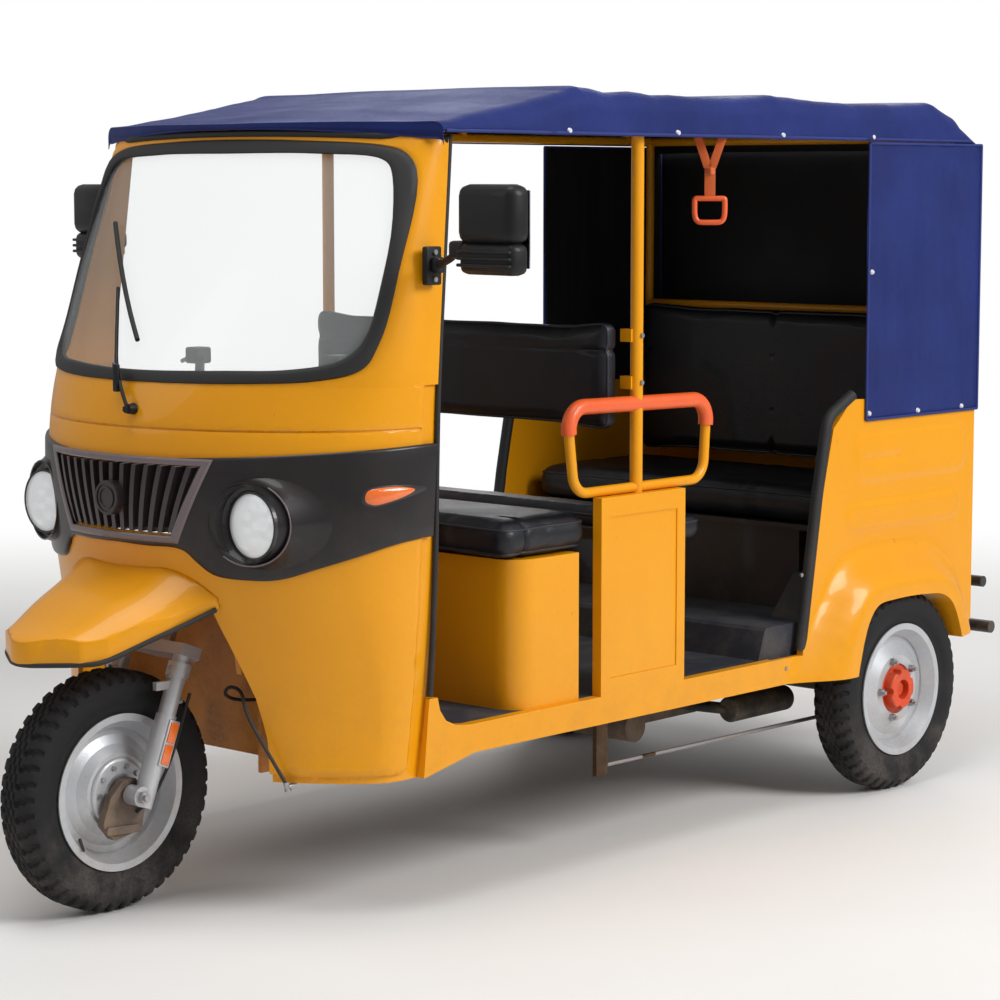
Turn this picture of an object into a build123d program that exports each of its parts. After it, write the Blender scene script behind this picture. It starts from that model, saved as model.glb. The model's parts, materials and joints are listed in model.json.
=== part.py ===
"""Three-wheeled passenger auto rickshaw, built as separate named pieces.

Millimetres, +Z up.  The vehicle faces -Y, its left side is +X and the tyres
stand on z = 0.  Stations along the vehicle are given as distances behind the
front axle and moved to the shared origin by AXLE_Y when a piece is written.
"""

import math
import os
from functools import cache

from build123d import *

# ---------------------------------------------------------------- driving sizes
WHEELBASE = 2178.0
TYRE_R = 265.0
TYRE_W = 112.0
RIM_R = 172.5
TRACK_HALF = 545.0  # rear wheel centre plane

BODY_X = 545.0  # outer plane of the cab, sills and quarter panels
FLARE_X = 620.0  # lip of the rear wheel arch
SKIN = 12.0  # pressed panel with its folded edge

SILL_TOP = 396.0
SILL_BOTTOM = 330.0
FLOOR_TOP = 396.0
DOOR_FRONT = 473.0  # rear edge of the cowl
BODY_REAR = 2580.0

PANEL_Y0, PANEL_Y1 = 1022.0, 1330.0  # low side panel between the two doorways
PANEL_TOP = 858.0
POLE_Y, POLE_X, POLE_R = 1184.0, 513.0, 15.0

SCREEN_Z0, ROOF_Z0 = 1150.0, 1683.0
ROOF_TOP = 1797.0
CANVAS = 6.0
CANVAS_Y0 = 2065.0  # front edge of the side curtain
CANVAS_Z0 = 972.0

RAKE = 21.3  # steering axis, degrees back from upright
AXIS_Y, AXIS_Z = 53.0, 250.0  # a point the steering axis goes through
FORK_X = 100.0
LEG_AHEAD = 36.0  # fork legs run this far ahead of the steering axis

FRONT_TIP, REAR_TIP = -265.0, 2707.0
AXLE_Y = -(FRONT_TIP + REAR_TIP) / 2.0  # front axle in the shared frame

TAN = math.tan(math.radians(RAKE))


# ---------------------------------------------------------------- small makers
def ccw(pts):
    """The same polygon, listed anticlockwise."""
    area = sum(a[0] * b[1] - b[0] * a[1] for a, b in zip(pts, list(pts[1:]) + [pts[0]]))
    return list(pts) if area > 0 else list(pts)[::-1]


def slab_x(pts, x0, x1):
    """Extrude a (y, z) polygon from x0 to x1."""
    return Pos(x0, 0, 0) * extrude(Plane.YZ * Polygon(*ccw(pts), align=None), x1 - x0)


def slab_y(pts, y0, y1):
    """Extrude an (x, z) polygon from y0 to y1."""
    return Pos(0, y1, 0) * extrude(Plane.XZ * Polygon(*ccw(pts), align=None), y1 - y0)


def slab_z(pts, z0, z1):
    """Extrude an (x, y) polygon from z0 to z1."""
    return Pos(0, 0, z0) * extrude(Polygon(*ccw(pts), align=None), z1 - z0)


def block(x0, x1, y0, y1, z0, z1):
    """Plain box between two corners."""
    return Pos((x0 + x1) / 2, (y0 + y1) / 2, (z0 + z1) / 2) * Box(
        abs(x1 - x0), abs(y1 - y0), abs(z1 - z0)
    )


def rod(p, q, r):
    """Round bar between two points."""
    p, q = Vector(*p), Vector(*q)
    return extrude(Plane(p, z_dir=(q - p)) * Circle(r), (q - p).length)


def tube_path(points, bend, r, closed=False):
    """Round bar swept along a bent path."""
    path = FilletPolyline(*points, radius=bend, close=closed)
    return sweep(Plane(path @ 0, z_dir=path % 0) * Circle(r), path=path)


def both(shape):
    """The piece and its twin on the other side."""
    return shape + mirror(shape, about=Plane.YZ)


def rounded(pts, r):
    """Polygon with every corner rounded."""
    face = Polygon(*ccw(pts), align=None)
    return fillet(face.vertices(), r)


def outline_x(pts, r, x0, x1):
    """Extrude a rounded (y, z) polygon from x0 to x1."""
    return Pos(x0, 0, 0) * extrude(Plane.YZ * rounded(pts, r), x1 - x0)


def outline_y(pts, r, y0, y1):
    """Extrude a rounded (x, z) polygon from y0 to y1."""
    return Pos(0, y1, 0) * extrude(Plane.XZ * rounded(pts, r), y1 - y0)


def axis_y(z):
    """Station of the steering axis at height z."""
    return AXIS_Y + (z - AXIS_Z) * TAN


# ---------------------------------------------------------------- cab skins
# z, nose station, nose radius, half width, corner radius
COWL = (
    (298.0, 98.0, 700.0, 530.0, 120.0),
    (680.0, 66.0, 650.0, 541.0, 220.0),
    (1000.0, 33.0, 626.0, 545.0, 330.0),
    (1150.0, 68.0, 660.0, 545.0, 260.0),
)
SCREEN = (
    (1150.0, 68.0, 660.0, 545.0, 260.0),
    (1700.0, 395.0, 1400.0, 525.0, 45.0),
)


def plan_face(z, nose, radius, half, corner, back, inset):
    """Level section of the cab: nose arc, two corner arcs, straight sides."""
    nose, radius, half, corner = nose + inset, radius - inset, half - inset, corner - inset
    cx = half - corner
    cy = nose + radius - math.sqrt((radius - corner) ** 2 - cx**2)
    ux, uy = cx / (radius - corner), (cy - nose - radius) / (radius - corner)
    tx, ty = radius * ux, nose + radius + radius * uy
    mid = math.atan2(uy, ux) / 2
    mx, my = cx + corner * math.cos(mid), cy + corner * math.sin(mid)
    edges = [
        ThreePointArc((-tx, ty), (0, nose), (tx, ty)),
        ThreePointArc((tx, ty), (mx, my), (half, cy)),
        Line((half, cy), (half, back)),
        Line((half, back), (-half, back)),
        Line((-half, back), (-half, cy)),
        ThreePointArc((-half, cy), (-mx, my), (-tx, ty)),
    ]
    return Pos(0, 0, z) * make_face(edges)


def cab_solid(table, backs, inset=0.0, ruled=False):
    """Loft of the level sections in a table."""
    return loft(
        [plan_face(*row, back, inset) for row, back in zip(table, backs)], ruled=ruled
    )


def nose_at(x, z, table=COWL):
    """Station of the outer cowl surface ahead of a point (x, z)."""
    for low, high in zip(table, table[1:]):
        if z <= high[0]:
            break
    t = (z - low[0]) / (high[0] - low[0])
    nose, radius = (low[i] + t * (high[i] - low[i]) for i in (1, 2))
    return nose + radius - math.sqrt(radius**2 - x**2)


COWL_BACKS = (430.0, 466.0, 473.0, 478.0)
SCREEN_BACKS = (478.0, 537.0)

WHEEL_OPENING = (
    (-332, 250), (-318, 392), (-298, 478), (-266, 564), (-238, 638), (-214, 712),
    (214, 712), (238, 638), (266, 564), (298, 478), (318, 392), (332, 250),
)
# station and height of the line inside which the cab skin keeps its full size
REBATE = (
    (-200, 316), (392, 316), (408, 490), (424, 680), (431, 1000), (436, 1150), (497, 1700), (504, 1760), (-200, 1760),
)
WELL = ((-262, 100), (-262, 270), (-205, 352), (205, 352), (262, 270), (262, 100))
APERTURE = ((-446, 1192), (446, 1192), (410, 1648), (-410, 1648))
FASCIA = (
    (-600, 842), (-535, 815), (-440, 742), (-330, 752), (-240, 770), (-170, 800),
    (170, 800), (240, 770), (330, 752), (440, 742), (535, 815), (600, 842),
    (600, 1022), (440, 1012), (0, 992), (-440, 1012), (-600, 1022),
)
GRILLE = ((-163, 832), (163, 832), (258, 982), (-258, 982))
LAMP_X, LAMP_Z, LAMP_Y = 350.0, 859.0, 129.0  # centre of the lamp's mouth
LAMP_TURN = 33.0  # the mouth faces outwards by this many degrees
LAMP_MOUTH, LAMP_FLOOR = 89.0, 20.0  # scoop round the lamp: radius and depth
LAMP_R, LENS_R, LAMP_FACE = 79.0, 73.0, 156.0  # round housing that faces forward


def rebate(table, backs, ruled, z0, z1):
    """Band along the lower and rear edges where the skin steps in by 8 mm."""
    band = cab_solid(table, [b + 20 for b in backs], -3, ruled) - cab_solid(table, [b + 40 for b in backs], 8, ruled)
    return (band & block(-700, 700, 0, 700, z0, z1)) - outline_x(REBATE, 22, -700, 700)


def lamp_scoop(r, depth, reach=150.0):
    """Round bar square to the tilted lamp mouth, from depth behind it outwards, left side."""
    turn = math.radians(LAMP_TURN)
    out = Vector(math.sin(turn), -math.cos(turn), 0)
    mouth = Vector(LAMP_X, LAMP_Y, LAMP_Z)
    return rod(mouth - out * depth, mouth + out * reach, r)


def lamp_bar(r, y0, y1):
    """Round bar along the vehicle through the lamp centre, left side."""
    return rod((LAMP_X, y0, LAMP_Z), (LAMP_X, y1, LAMP_Z), r)


@cache
def front_cowl():
    outer = cab_solid(COWL, COWL_BACKS)
    inner = cab_solid(COWL, [b + 40 for b in COWL_BACKS], SKIN)
    shell = outer - inner
    shell -= slab_y(WHEEL_OPENING, -400, 300)
    shell -= outline_y(GRILLE, 18, -100, 200)
    shell -= rebate(COWL, COWL_BACKS, False, 200, 1150)
    seam = cab_solid(COWL, COWL_BACKS, -2) - cab_solid(COWL, [b + 40 for b in COWL_BACKS], 3)
    shell -= (seam & block(-700, 700, -100, 428, 1055, 1060))
    return shell - both(lamp_bar(LAMP_R + 0.5, -100, 320))


def wheel_well():
    """Folded liner behind the front wheel, open below and in front."""
    out = slab_z(WELL, 304, 726)
    inn = slab_z([(x * (1 - 10 / 262), y - (10 if y > 120 else -60) + (-80 if y < 120 else 0)) for x, y in WELL], 280, 716)
    body = (out - inn) & cab_solid(COWL, [b + 40 for b in COWL_BACKS], SKIN)
    body -= Pos(0, axis_y(721), 721) * Rot(-RAKE, 0, 0) * Cylinder(46, 60)
    return body - both(block(200, 300, 90, 216, 250, 528))


@cache
def windscreen_surround():
    skin = cab_solid(SCREEN, SCREEN_BACKS, 0, True) - cab_solid(
        SCREEN, [b + 60 for b in SCREEN_BACKS], 24.0, True
    )
    skin -= rebate(SCREEN, SCREEN_BACKS, True, 1150, 1700)
    return skin - outline_y(APERTURE, 62, -100, 520)


def grown(pts, d):
    """A four-cornered outline moved outwards by d."""
    cx = sum(p[0] for p in pts) / len(pts)
    cz = sum(p[1] for p in pts) / len(pts)
    return [(x + (d if x > cx else -d), z + (d if z > cz else -d)) for x, z in pts]


def windscreen_seal():
    band = cab_solid(SCREEN, SCREEN_BACKS, -4, True) - cab_solid(
        SCREEN, [b + 60 for b in SCREEN_BACKS], 18.0, True
    )
    ring = outline_y(grown(APERTURE, -1), 60, -100, 520) - outline_y(
        grown(APERTURE, -24), 44, -110, 530
    )
    return band & ring


def windscreen_glass():
    pane = cab_solid(SCREEN, SCREEN_BACKS, 4, True) - cab_solid(
        SCREEN, [b + 60 for b in SCREEN_BACKS], 9.0, True
    )
    return pane & outline_y(grown(APERTURE, -25), 44, -100, 520)


def fascia_band():
    """Trim band over the cowl, swelling to a socket round each headlamp."""
    outer = cab_solid(COWL, COWL_BACKS, -9)
    inner = cab_solid(COWL, [b + 40 for b in COWL_BACKS], -1)
    band = (outer - inner) & slab_y(FASCIA, -200, 427)
    turn = math.radians(LAMP_TURN)
    out = Vector(math.sin(turn), -math.cos(turn), 0)
    mouth = Vector(LAMP_X, LAMP_Y, LAMP_Z)
    pod = loft(
        [Plane(mouth, z_dir=out) * Circle(LAMP_MOUTH + 4), Plane(mouth - out * 44, z_dir=out) * Circle(LAMP_MOUTH + 36)],
        ruled=True,
    )
    band += both(pod - inner)
    band -= outline_y(GRILLE, 18, -100, 200)
    return band - both(lamp_scoop(LAMP_MOUTH, LAMP_FLOOR)) - both(lamp_bar(LAMP_R + 0.5, -100, 320))


def grille():
    """Recessed back plate, upright bars and a plain round boss."""
    back = cab_solid(COWL, COWL_BACKS, 20) - cab_solid(COWL, [b + 40 for b in COWL_BACKS], 26)
    plate = back & outline_y(grown(GRILLE, -2), 16, -100, 250)
    bars_band = cab_solid(COWL, COWL_BACKS, -6) - cab_solid(COWL, [b + 40 for b in COWL_BACKS], 22)
    bars = bars_band & outline_y(grown(GRILLE, -3), 15, -100, 250)
    keep = None
    for i in range(-6, 7):
        x = i * 36.0
        bar = slab_y([(x * 0.72 - 6, 826), (x * 0.72 + 6, 826), (x + 6, 990), (x - 6, 990)], -60, 220)
        keep = bar if keep is None else keep + bar
    bars = bars & keep
    boss = Pos(0, 38, 903) * Rot(90, 0, 0) * Cylinder(38, 50)
    return plate + bars + boss


def headlamps():
    """Round housing with a stepped front and a sleeve that lines its socket."""
    can = lamp_bar(LAMP_R, LAMP_FACE, 216) - lamp_bar(LENS_R, LAMP_FACE - 5, 208)
    sleeve = lamp_bar(LAMP_R, 60, LAMP_FACE + 4) - lamp_bar(LAMP_R - 2.5, 50, LAMP_FACE + 8)
    return both(can + (sleeve - lamp_scoop(200, LAMP_FLOOR, 300)))


def headlamp_lenses():
    dome = Pos(LAMP_X, LAMP_FACE + 192, LAMP_Z) * Sphere(200)
    return both(dome & lamp_bar(LENS_R, LAMP_FACE - 10, LAMP_FACE + 12))


INDICATOR = ((452, 925), (462, 905), (531, 925), (531, 955), (462, 965))


def indicators():
    outer = cab_solid(COWL, COWL_BACKS, -16)
    inner = cab_solid(COWL, [b + 40 for b in COWL_BACKS], -9.2)
    one = (outer - inner) & slab_y(INDICATOR, 200, 440)
    return both(one & block(300, 700, 200, 440, 800, 1000))


def wiper():
    base = (-150.0, nose_at(-150, 1090) - 6, 1090.0)
    knee = (-160.0, base[1] + 96, 1340.0)
    arm = rod((base[0], base[1] + 8, base[2] + 1), (base[0], base[1] - 22, base[2] - 2), 11)
    arm += rod((base[0], base[1] - 16, base[2]), (knee[0], knee[1] - 26, knee[2]), 6)
    return arm - front_cowl()


def mirrors():
    def one(cx, cy, yaw):
        shell = Box(196, 62, 183)
        shell = fillet(shell.edges().filter_by(Axis.Y), 26)
        shell = fillet(shell.faces().sort_by(Axis.Y)[0].edges(), 14)
        shell = Pos(cx, cy, 1482) * Rot(0, 0, yaw) * shell
        return shell

    left = one(782, 402, -8)
    arm_l = rod((548, 448, 1403), (700, 418, 1420), 9) + Pos(553, 450, 1403) * Box(14, 44, 74)
    right = one(-790, 650, 52)
    right = Pos(-left.bounding_box().max.X - right.bounding_box().min.X, 0, 0) * right
    arm_r = rod((-548, 455, 1403), (-765, 640, 1440), 9) + Pos(-553, 450, 1403) * Box(14, 44, 74)
    return ((left + arm_l) + (right + arm_r)) - windscreen_surround()


def dashboard():
    pts = ((60, 1040), (236, 1040), (250, 1060), (250, 1110), (226, 1136), (60, 1142))
    pod = outline_x(pts, 8, -440, 440)
    return pod & cab_solid(COWL, [b + 40 for b in COWL_BACKS], SKIN)


# ---------------------------------------------------------------- lower body
def floor_pan():
    front = slab_z([(-240, 356), (240, 356), (520, 440), (520, 2440), (-520, 2440), (-520, 440)], FLOOR_TOP - 14, FLOOR_TOP)
    for side in (-1, 1):
        front -= block(side * 414, side * 560, 1858, 2500, 300, 500)
    return front - steering_head()


# lower corner of the doorway, where the sill runs up to the cowl
GUSSET = (
    (431, 298), (600, 333), (1693, 330), (1693, SILL_TOP), (575, SILL_TOP), (530, 402), (500, 416), (482, 440), (474, 470), (448, 470),
)


def side_sills():
    pts = ((474, 318), (530, 332), (1693, 330), (1693, SILL_TOP - 14), (520, SILL_TOP - 14), (476, SILL_TOP - 40))
    one = slab_x(pts, 470, BODY_X) + slab_x(GUSSET, 521, BODY_X)
    one += slab_x(((520, SILL_TOP - 20), (1693, SILL_TOP - 20), (1693, SILL_TOP), (520, SILL_TOP)), 520, BODY_X)
    one += block(470, BODY_X - SKIN, 1693, 1850, SILL_BOTTOM, SILL_TOP - 14)
    return both(one - cab_solid(COWL, COWL_BACKS))


def side_panels():
    one = block(BODY_X - 26, BODY_X, PANEL_Y0, PANEL_Y1, SILL_TOP, PANEL_TOP)
    one -= block(BODY_X - 3, BODY_X + 5, PANEL_Y0 + 30, PANEL_Y1 - 30, SILL_TOP + 40, PANEL_TOP - 46)
    return both(one)


LOOP = ((935, 1070), (1450, 1062), (1436, 870), (962, 870))


def grab_loops():
    pts = [(POLE_X, y, z) for y, z in LOOP]
    path = FilletPolyline(*pts, radius=50, close=True)
    one = sweep(Plane(path @ 0, z_dir=path % 0) * Circle(12), path=path)
    one -= rod((POLE_X, POLE_Y, PANEL_TOP), (POLE_X, POLE_Y, 1200), POLE_R)
    return both(one)


def loop_grips():
    pts = [(POLE_X, 943.4, 1008), (POLE_X, *LOOP[0]), (POLE_X, *LOOP[1]), (POLE_X, 1445.5, 1000)]
    path = FilletPolyline(*pts, radius=50)
    face = Plane(path @ 0, z_dir=path % 0) * (Circle(18) - Circle(12.6))
    grip = sweep(face, path=path)
    return both(grip - rod((POLE_X, POLE_Y, PANEL_TOP), (POLE_X, POLE_Y, 1200), POLE_R + 0.5))


BACKREST_Y = 1163.0
BOWS = ((1000, 1768), (1690, 1766), (2380, 1762))  # station, crown height


def roof_frame():
    one = rod((POLE_X, POLE_Y, PANEL_TOP), (POLE_X, POLE_Y, 1698), POLE_R)
    for z in (1100, 1210):
        one += block(480, POLE_X, BACKREST_Y, POLE_Y, z, z + 30)
    rail = rod((POLE_X, 500, 1698), (POLE_X, 2488, 1698), 12) - windscreen_surround()
    post = rod((POLE_X, 2488, CANVAS_Z0 + 20), (POLE_X, 2488, 1698), 12)
    frame = both(one + rail + post)
    for y, z in BOWS:
        frame += tube_path([(-POLE_X, y, 1696), (-POLE_X, y, z), (POLE_X, y, z), (POLE_X, y, 1696)], 45, 12)
    for z in (1010, 1232, 1696):
        frame += rod((-POLE_X, 2488, z), (POLE_X, 2488, z), 12)
    return frame


HANDLE_Y, HANDLE_Z, HANDLE_TURN = 1463.0, 1506.0, 16.0


def strap_handles():
    """Webbing looped over each side rail with a hand ring below."""
    web = slab_x(((1405, 1686), (1427, 1686), (1464, 1612), (1444, 1604)), 511, 515)
    web += slab_x(((1478, 1686), (1500, 1686), (1464, 1604), (1444, 1612)), 511, 515)
    web += slab_x(((1443, 1615), (1465, 1615), (1474, 1546), (1452, 1546)), 511, 515)
    pts = [(0, y, z) for y, z in ((-44, -35), (44, -35), (44, 35), (-44, 35))]
    ring = tube_path(pts, 26, 8, closed=True)
    return both(web + Pos(POLE_X, HANDLE_Y, HANDLE_Z) * Rot(0, 0, HANDLE_TURN) * ring)


QUARTER = (
    (1693.2, 396), (1693.2, 330), (2120, 330), (2540, 392), (BODY_REAR, 400),
    (BODY_REAR, CANVAS_Z0 + 30), (2010, 1030), (1930, 960), (1884, 783), (1800, 396),
)
# wheel arch swelling: distance from the centre line, then its outline there
FLARE = (
    (BODY_X - SKIN, ((1700, 332), (1962, 584), (2080, 652), (2334, 652), (2494, 588), (2574, 392))),
    (568.0, ((1764, 331), (1968, 564), (2070, 628), (2322, 630), (2462, 574), (2546, 392))),
    (600.0, ((1846, 330), (1977, 528), (2062, 596), (2310, 592), (2402, 548), (2470, 392))),
    (FLARE_X, ((1900, 328), (1980, 474), (2040, 540), (2330, 532), (2394, 484), (2450, 392))),
)
# pressed fields of the quarter panel
PRESSED = (
    ((2025, 894), (2046, 924), (2122, 937), (2264, 932), (2490, 950), (2530, 915), (2534, 850), (2500, 816), (2440, 812), (2290, 830), (2080, 836)),
    ((1999, 690), (1999, 755), (2500, 755), (2500, 690)),
)
ARCH = ((1932, 250), (1986, 447), (2032, 508), (2338, 501), (2378, 477), (2440, 330), (2440, 250))


def arch_face(pts, x, r):
    return Pos(x, 0, 0) * (Plane.YZ * rounded(pts, r))


def flare_loft(grow):
    """Swelling through the four outlines, drawn in by grow for its hollow."""
    faces = []
    for x, pts in FLARE:
        pts = [(2180 + (y - 2180) * (1 - grow / 300), 330 + (z - 330) * (1 - grow / 260) - grow / 6) for y, z in pts]
        face = Polygon(*ccw(pts), align=None)
        faces.append(Pos(x - grow * 0.8, 0, 0) * (Plane.YZ * fillet([v for v in face.vertices() if v.Y > 420], 46)))
    return loft(faces, ruled=True)


@cache
def quarter_side():
    plate = slab_x(QUARTER, BODY_X - SKIN, BODY_X)
    plate -= outline_x(PRESSED[0], 8, BODY_X - 4, BODY_X + 5)
    plate -= outline_x(PRESSED[1], 28, BODY_X - 4, BODY_X + 5)
    plate -= outline_x(((2070, 862), (2070, 878), (2270, 878), (2270, 862)), 7, BODY_X - 8, BODY_X + 5)
    hollow = Pos(430, 2178, 265) * Rot(0, 90, 0) * Cylinder(292, 178, align=(Align.CENTER, Align.CENTER, Align.MIN))
    arch = outline_x(ARCH, 20, 500, 700)
    return (plate + (flare_loft(0) - flare_loft(13))) - hollow - arch


def quarter_panel_left():
    return quarter_side()


def quarter_panel_right():
    return mirror(quarter_side(), about=Plane.YZ)


def wheel_wells():
    """Box over each rear wheel, open below and outwards."""
    out = slab_x(((1860, FLOOR_TOP), (1860, 470), (1960, 578), (2396, 578), (2496, 470), (2496, FLOOR_TOP)), 404, BODY_X - SKIN - 0.5)
    inn = slab_x(((1872, 380), (1872, 464), (1966, 566), (2390, 566), (2484, 464), (2484, 380)), 416, 700)
    return both(out - inn)


def quarter_trims():
    path = FilletPolyline(
        (BODY_X - 8, 1820, 400), (BODY_X - 8, 1884, 783), (BODY_X - 8, 1926, 985), (BODY_X - 8, 2030, 1036), radius=60
    )
    face = Plane(path @ 0, z_dir=path % 0) * Circle(15)
    return both((Pos(0, -12, 4) * sweep(face, path=path)) - quarter_side() - block(400, 600, 1700, 1900, 300, SILL_TOP))


def rear_panel():
    return block(-BODY_X + SKIN + 1, BODY_X - SKIN - 1, BODY_REAR - SKIN, BODY_REAR, 392, CANVAS_Z0 + 20)


def tail_lamps():
    return both(block(440, 510, BODY_REAR + 0.5, BODY_REAR + 22, 620, 720))


BAR_LOW, BAR_TOP = (2687.0, 364.0, 17.0), (2642.0, 495.0, 15.0)  # station, height, radius


def rear_bumper():
    """Two cross bars with free ends, held in the eyes of a pair of bracket plates."""
    bars = None
    for y, z, r in (BAR_LOW, BAR_TOP):
        bar = rod((-BODY_X, y, z), (BODY_X, y, z), r)
        bars = bar if bars is None else bars + bar
    plate = slab_x(((BODY_REAR, 400), (BODY_REAR, 524), (2648, 512), (2662, 470), (2706, 376), (2690, 348), (2668, 356)), 384, 396)
    for y, z, r in (BAR_LOW, BAR_TOP):
        plate += rod((384, y, z), (396, y, z), r + 3)
    return bars + both(plate)


# ---------------------------------------------------------------- canvas
# station and height of the roof's top line, front to back
ROOF_LINE = ((360, 1706), (930, ROOF_TOP), (2390, ROOF_TOP - 6), (2478, 1758), (2578, 1664))


def roof_block(inset):
    """Everything below the roof line, as wide as the canvas."""
    pts = [(y - (inset if y > 2400 else 0), z - inset) for y, z in ROOF_LINE]
    pts = [(pts[0][0], 1600)] + pts + [(pts[-1][0], 1600)]
    half = BODY_X + 4 - inset
    front = make_face(
        [
            ThreePointArc((-half, 492 + inset), (0, 370 + inset), (half, 492 + inset)),
            Line((half, 492 + inset), (half, 2700)),
            Line((half, 2700), (-half, 2700)),
            Line((-half, 2700), (-half, 492 + inset)),
        ]
    )
    return slab_x(pts, -half, half) & (Pos(0, 0, 1500) * extrude(front, 400))


def roof_canopy():
    shell = roof_block(0) - roof_block(CANVAS)
    return shell & block(-700, 700, 0, 3000, ROOF_Z0, 1900)


def canvas_curtains():
    """Side and rear curtains hanging from the roof."""
    side = block(BODY_X + 1, BODY_X + 1 + CANVAS - 2, CANVAS_Y0, 2572, CANVAS_Z0, ROOF_Z0 - 2)
    rear = block(-BODY_X, BODY_X, BODY_REAR + 1, BODY_REAR + CANVAS, CANVAS_Z0, 1655)
    return both(side) + rear


# ---------------------------------------------------------------- seats
def driver_seat_box():
    body = block(-528, 528, 748, 962, FLOOR_TOP, 738)
    body = fillet(body.edges().filter_by(Axis.Z).group_by(Axis.Y)[0], 66)
    inner = block(-516, 516, 760, 950, FLOOR_TOP - 5, 726)
    return body - fillet(inner.edges().filter_by(Axis.Z).group_by(Axis.Y)[0], 54)


def driver_cushion():
    pad = block(-534, 534, 706, 1010, 738, 830)
    return fillet(pad.edges(), 24)


def driver_backrest():
    pad = block(-495, 495, BACKREST_Y - 63, BACKREST_Y, 1000, 1262)
    return fillet(pad.edges(), 18)


def jump_seat():
    pad = block(-500, 500, 1345, 1470, 712, 788)
    return fillet(pad.edges(), 20)


BENCH_Z = 700.0


def rear_bench():
    pad = block(-505, 505, 1960, 2438, BENCH_Z, 800)
    return fillet(pad.edges(), 24)


def rear_backrest():
    pad = block(-495, 495, 2398, 2476, 804, 1246)
    return fillet(pad.edges(), 24)


def bench_box():
    box = block(-398, 398, 1990, 2430, FLOOR_TOP, 690) - block(-386, 386, 2002, 2418, FLOOR_TOP - 5, 680)
    return box + block(-505, 505, 1975, 2438, 686, BENCH_Z)


STEP_Z = 475.0


def rear_step():
    """Raised floor ahead of the rear bench with a rolled front edge."""
    step = slab_x(((1660, FLOOR_TOP), (1684, STEP_Z - 8), (1692, STEP_Z), (1990, STEP_Z), (1990, FLOOR_TOP)), -518, 518)
    step -= slab_x(((1672, FLOOR_TOP - 5), (1696, STEP_Z - 12), (1978, STEP_Z - 12), (1978, FLOOR_TOP - 5)), -506, 506)
    return step - both(block(403, 560, 1859, 2000, 300, 600))


# ---------------------------------------------------------------- below the floor
CROSS_Y = (480, 1000, 1500, 1900, 2500)



@cache
def chassis_frame():
    """Two side rails with the spring hangers on them."""
    rail = block(250, 300, 480, 2540, 310, 382)
    for y in (WHEELBASE - 392, WHEELBASE + 372):
        rail += block(300, 385, y, y + 20, 318, 366)
    return both(rail)


def crossmembers():
    """Bars between the rails, and the bar that carries the jump seat."""
    bars = block(-519, 519, 1312, 1345, 712, 740)
    for y in CROSS_Y:
        bars += block(-250, 250, y, y + 40, 320, 372)
    return bars


@cache
def steering_head():
    """Head tube held by a bent down tube that stands on the first crossmember."""
    head = rod((0, axis_y(735), 735), (0, axis_y(960), 960), 34)
    down = rod((0, axis_y(900) + 20, 900), (0, 410, 700), 22) + rod((0, 410, 700), (0, 410, 420), 22)
    down += rod((0, 410, 420), (0, 500, 350), 22)
    for z in (700, 420):
        down += Pos(0, 410, z) * Rot(0, 90, 0) * Cylinder(22, 40)
    return (head + down) - rod((0, axis_y(700), 700), (0, axis_y(990), 990), 23) - block(-250, 250, 480, 520, 320, 372)


def engine_block():
    block_ = block(-150, 150, 1560, 1880, 190, 320) + block(-60, 60, 1541, 1560, 250, 320)
    return block_ + rod((-60, 1572, 200), (196, 1572, 200), 40)


def silencer():
    """Exhaust can under the left rail with its pipe from the engine."""
    can = fillet((rod((345, 1762, 236), (345, 2010, 236), 33)).edges(), 9)
    can += slab_y(((288, 310), (300, 310), (352, 262), (338, 256)), 1784, 1802)
    return (can + rod((150.1, 1740, 236), (335, 1775, 236), 15)) - engine_block()


def brake_linkage():
    """Pivot bracket, rod and lever of each rear brake."""
    one = block(444, 456, 1112, 1152, 181, FLOOR_TOP - 14)
    one += rod((450, 1145, 203), (450, 2046, 197), 5)
    one += rod((424, 2046, 197), (458, 2046, 197), 7)
    one += slab_x(((2036, 188), (2036, 208), (2116, 262), (2126, 240)), 422, 430)
    return both(one - side_sills())


LEAVES = ((392, 331), (300, 319), (210, 307))  # half length, middle height


def rear_axle():
    tube = rod((-441, WHEELBASE, TYRE_R), (441, WHEELBASE, TYRE_R), 34)
    spindle = rod((-488, WHEELBASE, TYRE_R), (488, WHEELBASE, TYRE_R), 16)
    case = Pos(0, WHEELBASE, TYRE_R) * Rot(0, 90, 0) * Cylinder(92, 150)
    case = fillet(case.edges(), 34)
    plates = rod((430, WHEELBASE, TYRE_R), (440, WHEELBASE, TYRE_R), 80)
    return tube + spindle + case + both(plates)


def leaf_springs():
    one = None
    for half, z in LEAVES:
        leaf = block(330, 385, WHEELBASE - half + 20, WHEELBASE + half - 20, z - 6, z + 6)
        one = leaf if one is None else one + leaf
    one += block(332, 383, WHEELBASE - 40, WHEELBASE + 40, 296, 302)
    one -= rod((-441, WHEELBASE, TYRE_R), (441, WHEELBASE, TYRE_R), 34)
    return both(one)


# ---------------------------------------------------------------- wheels
def tyre():
    """Ring about the X axis, centred on the origin."""
    w, r, b = TYRE_W / 2, TYRE_R, RIM_R - 10
    half = make_face(
        [
            Line((b, -42), (b, 42)),
            Line((b, 42), (RIM_R + 8, 46.5)),
            ThreePointArc((RIM_R + 8, 46.5), (218, w), (r - 14, w - 9)),
            Line((r - 14, w - 9), (r, w - 30)),
            Line((r, w - 30), (r, -w + 30)),
            Line((r, -w + 30), (r - 14, -w + 9)),
            ThreePointArc((r - 14, -w + 9), (218, -w), (RIM_R + 8, -46.5)),
            Line((RIM_R + 8, -46.5), (b, -42)),
        ]
    )
    ring = revolve(Plane.XY * half, Axis.Y)
    return Rot(0, 0, -90) * ring



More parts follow.
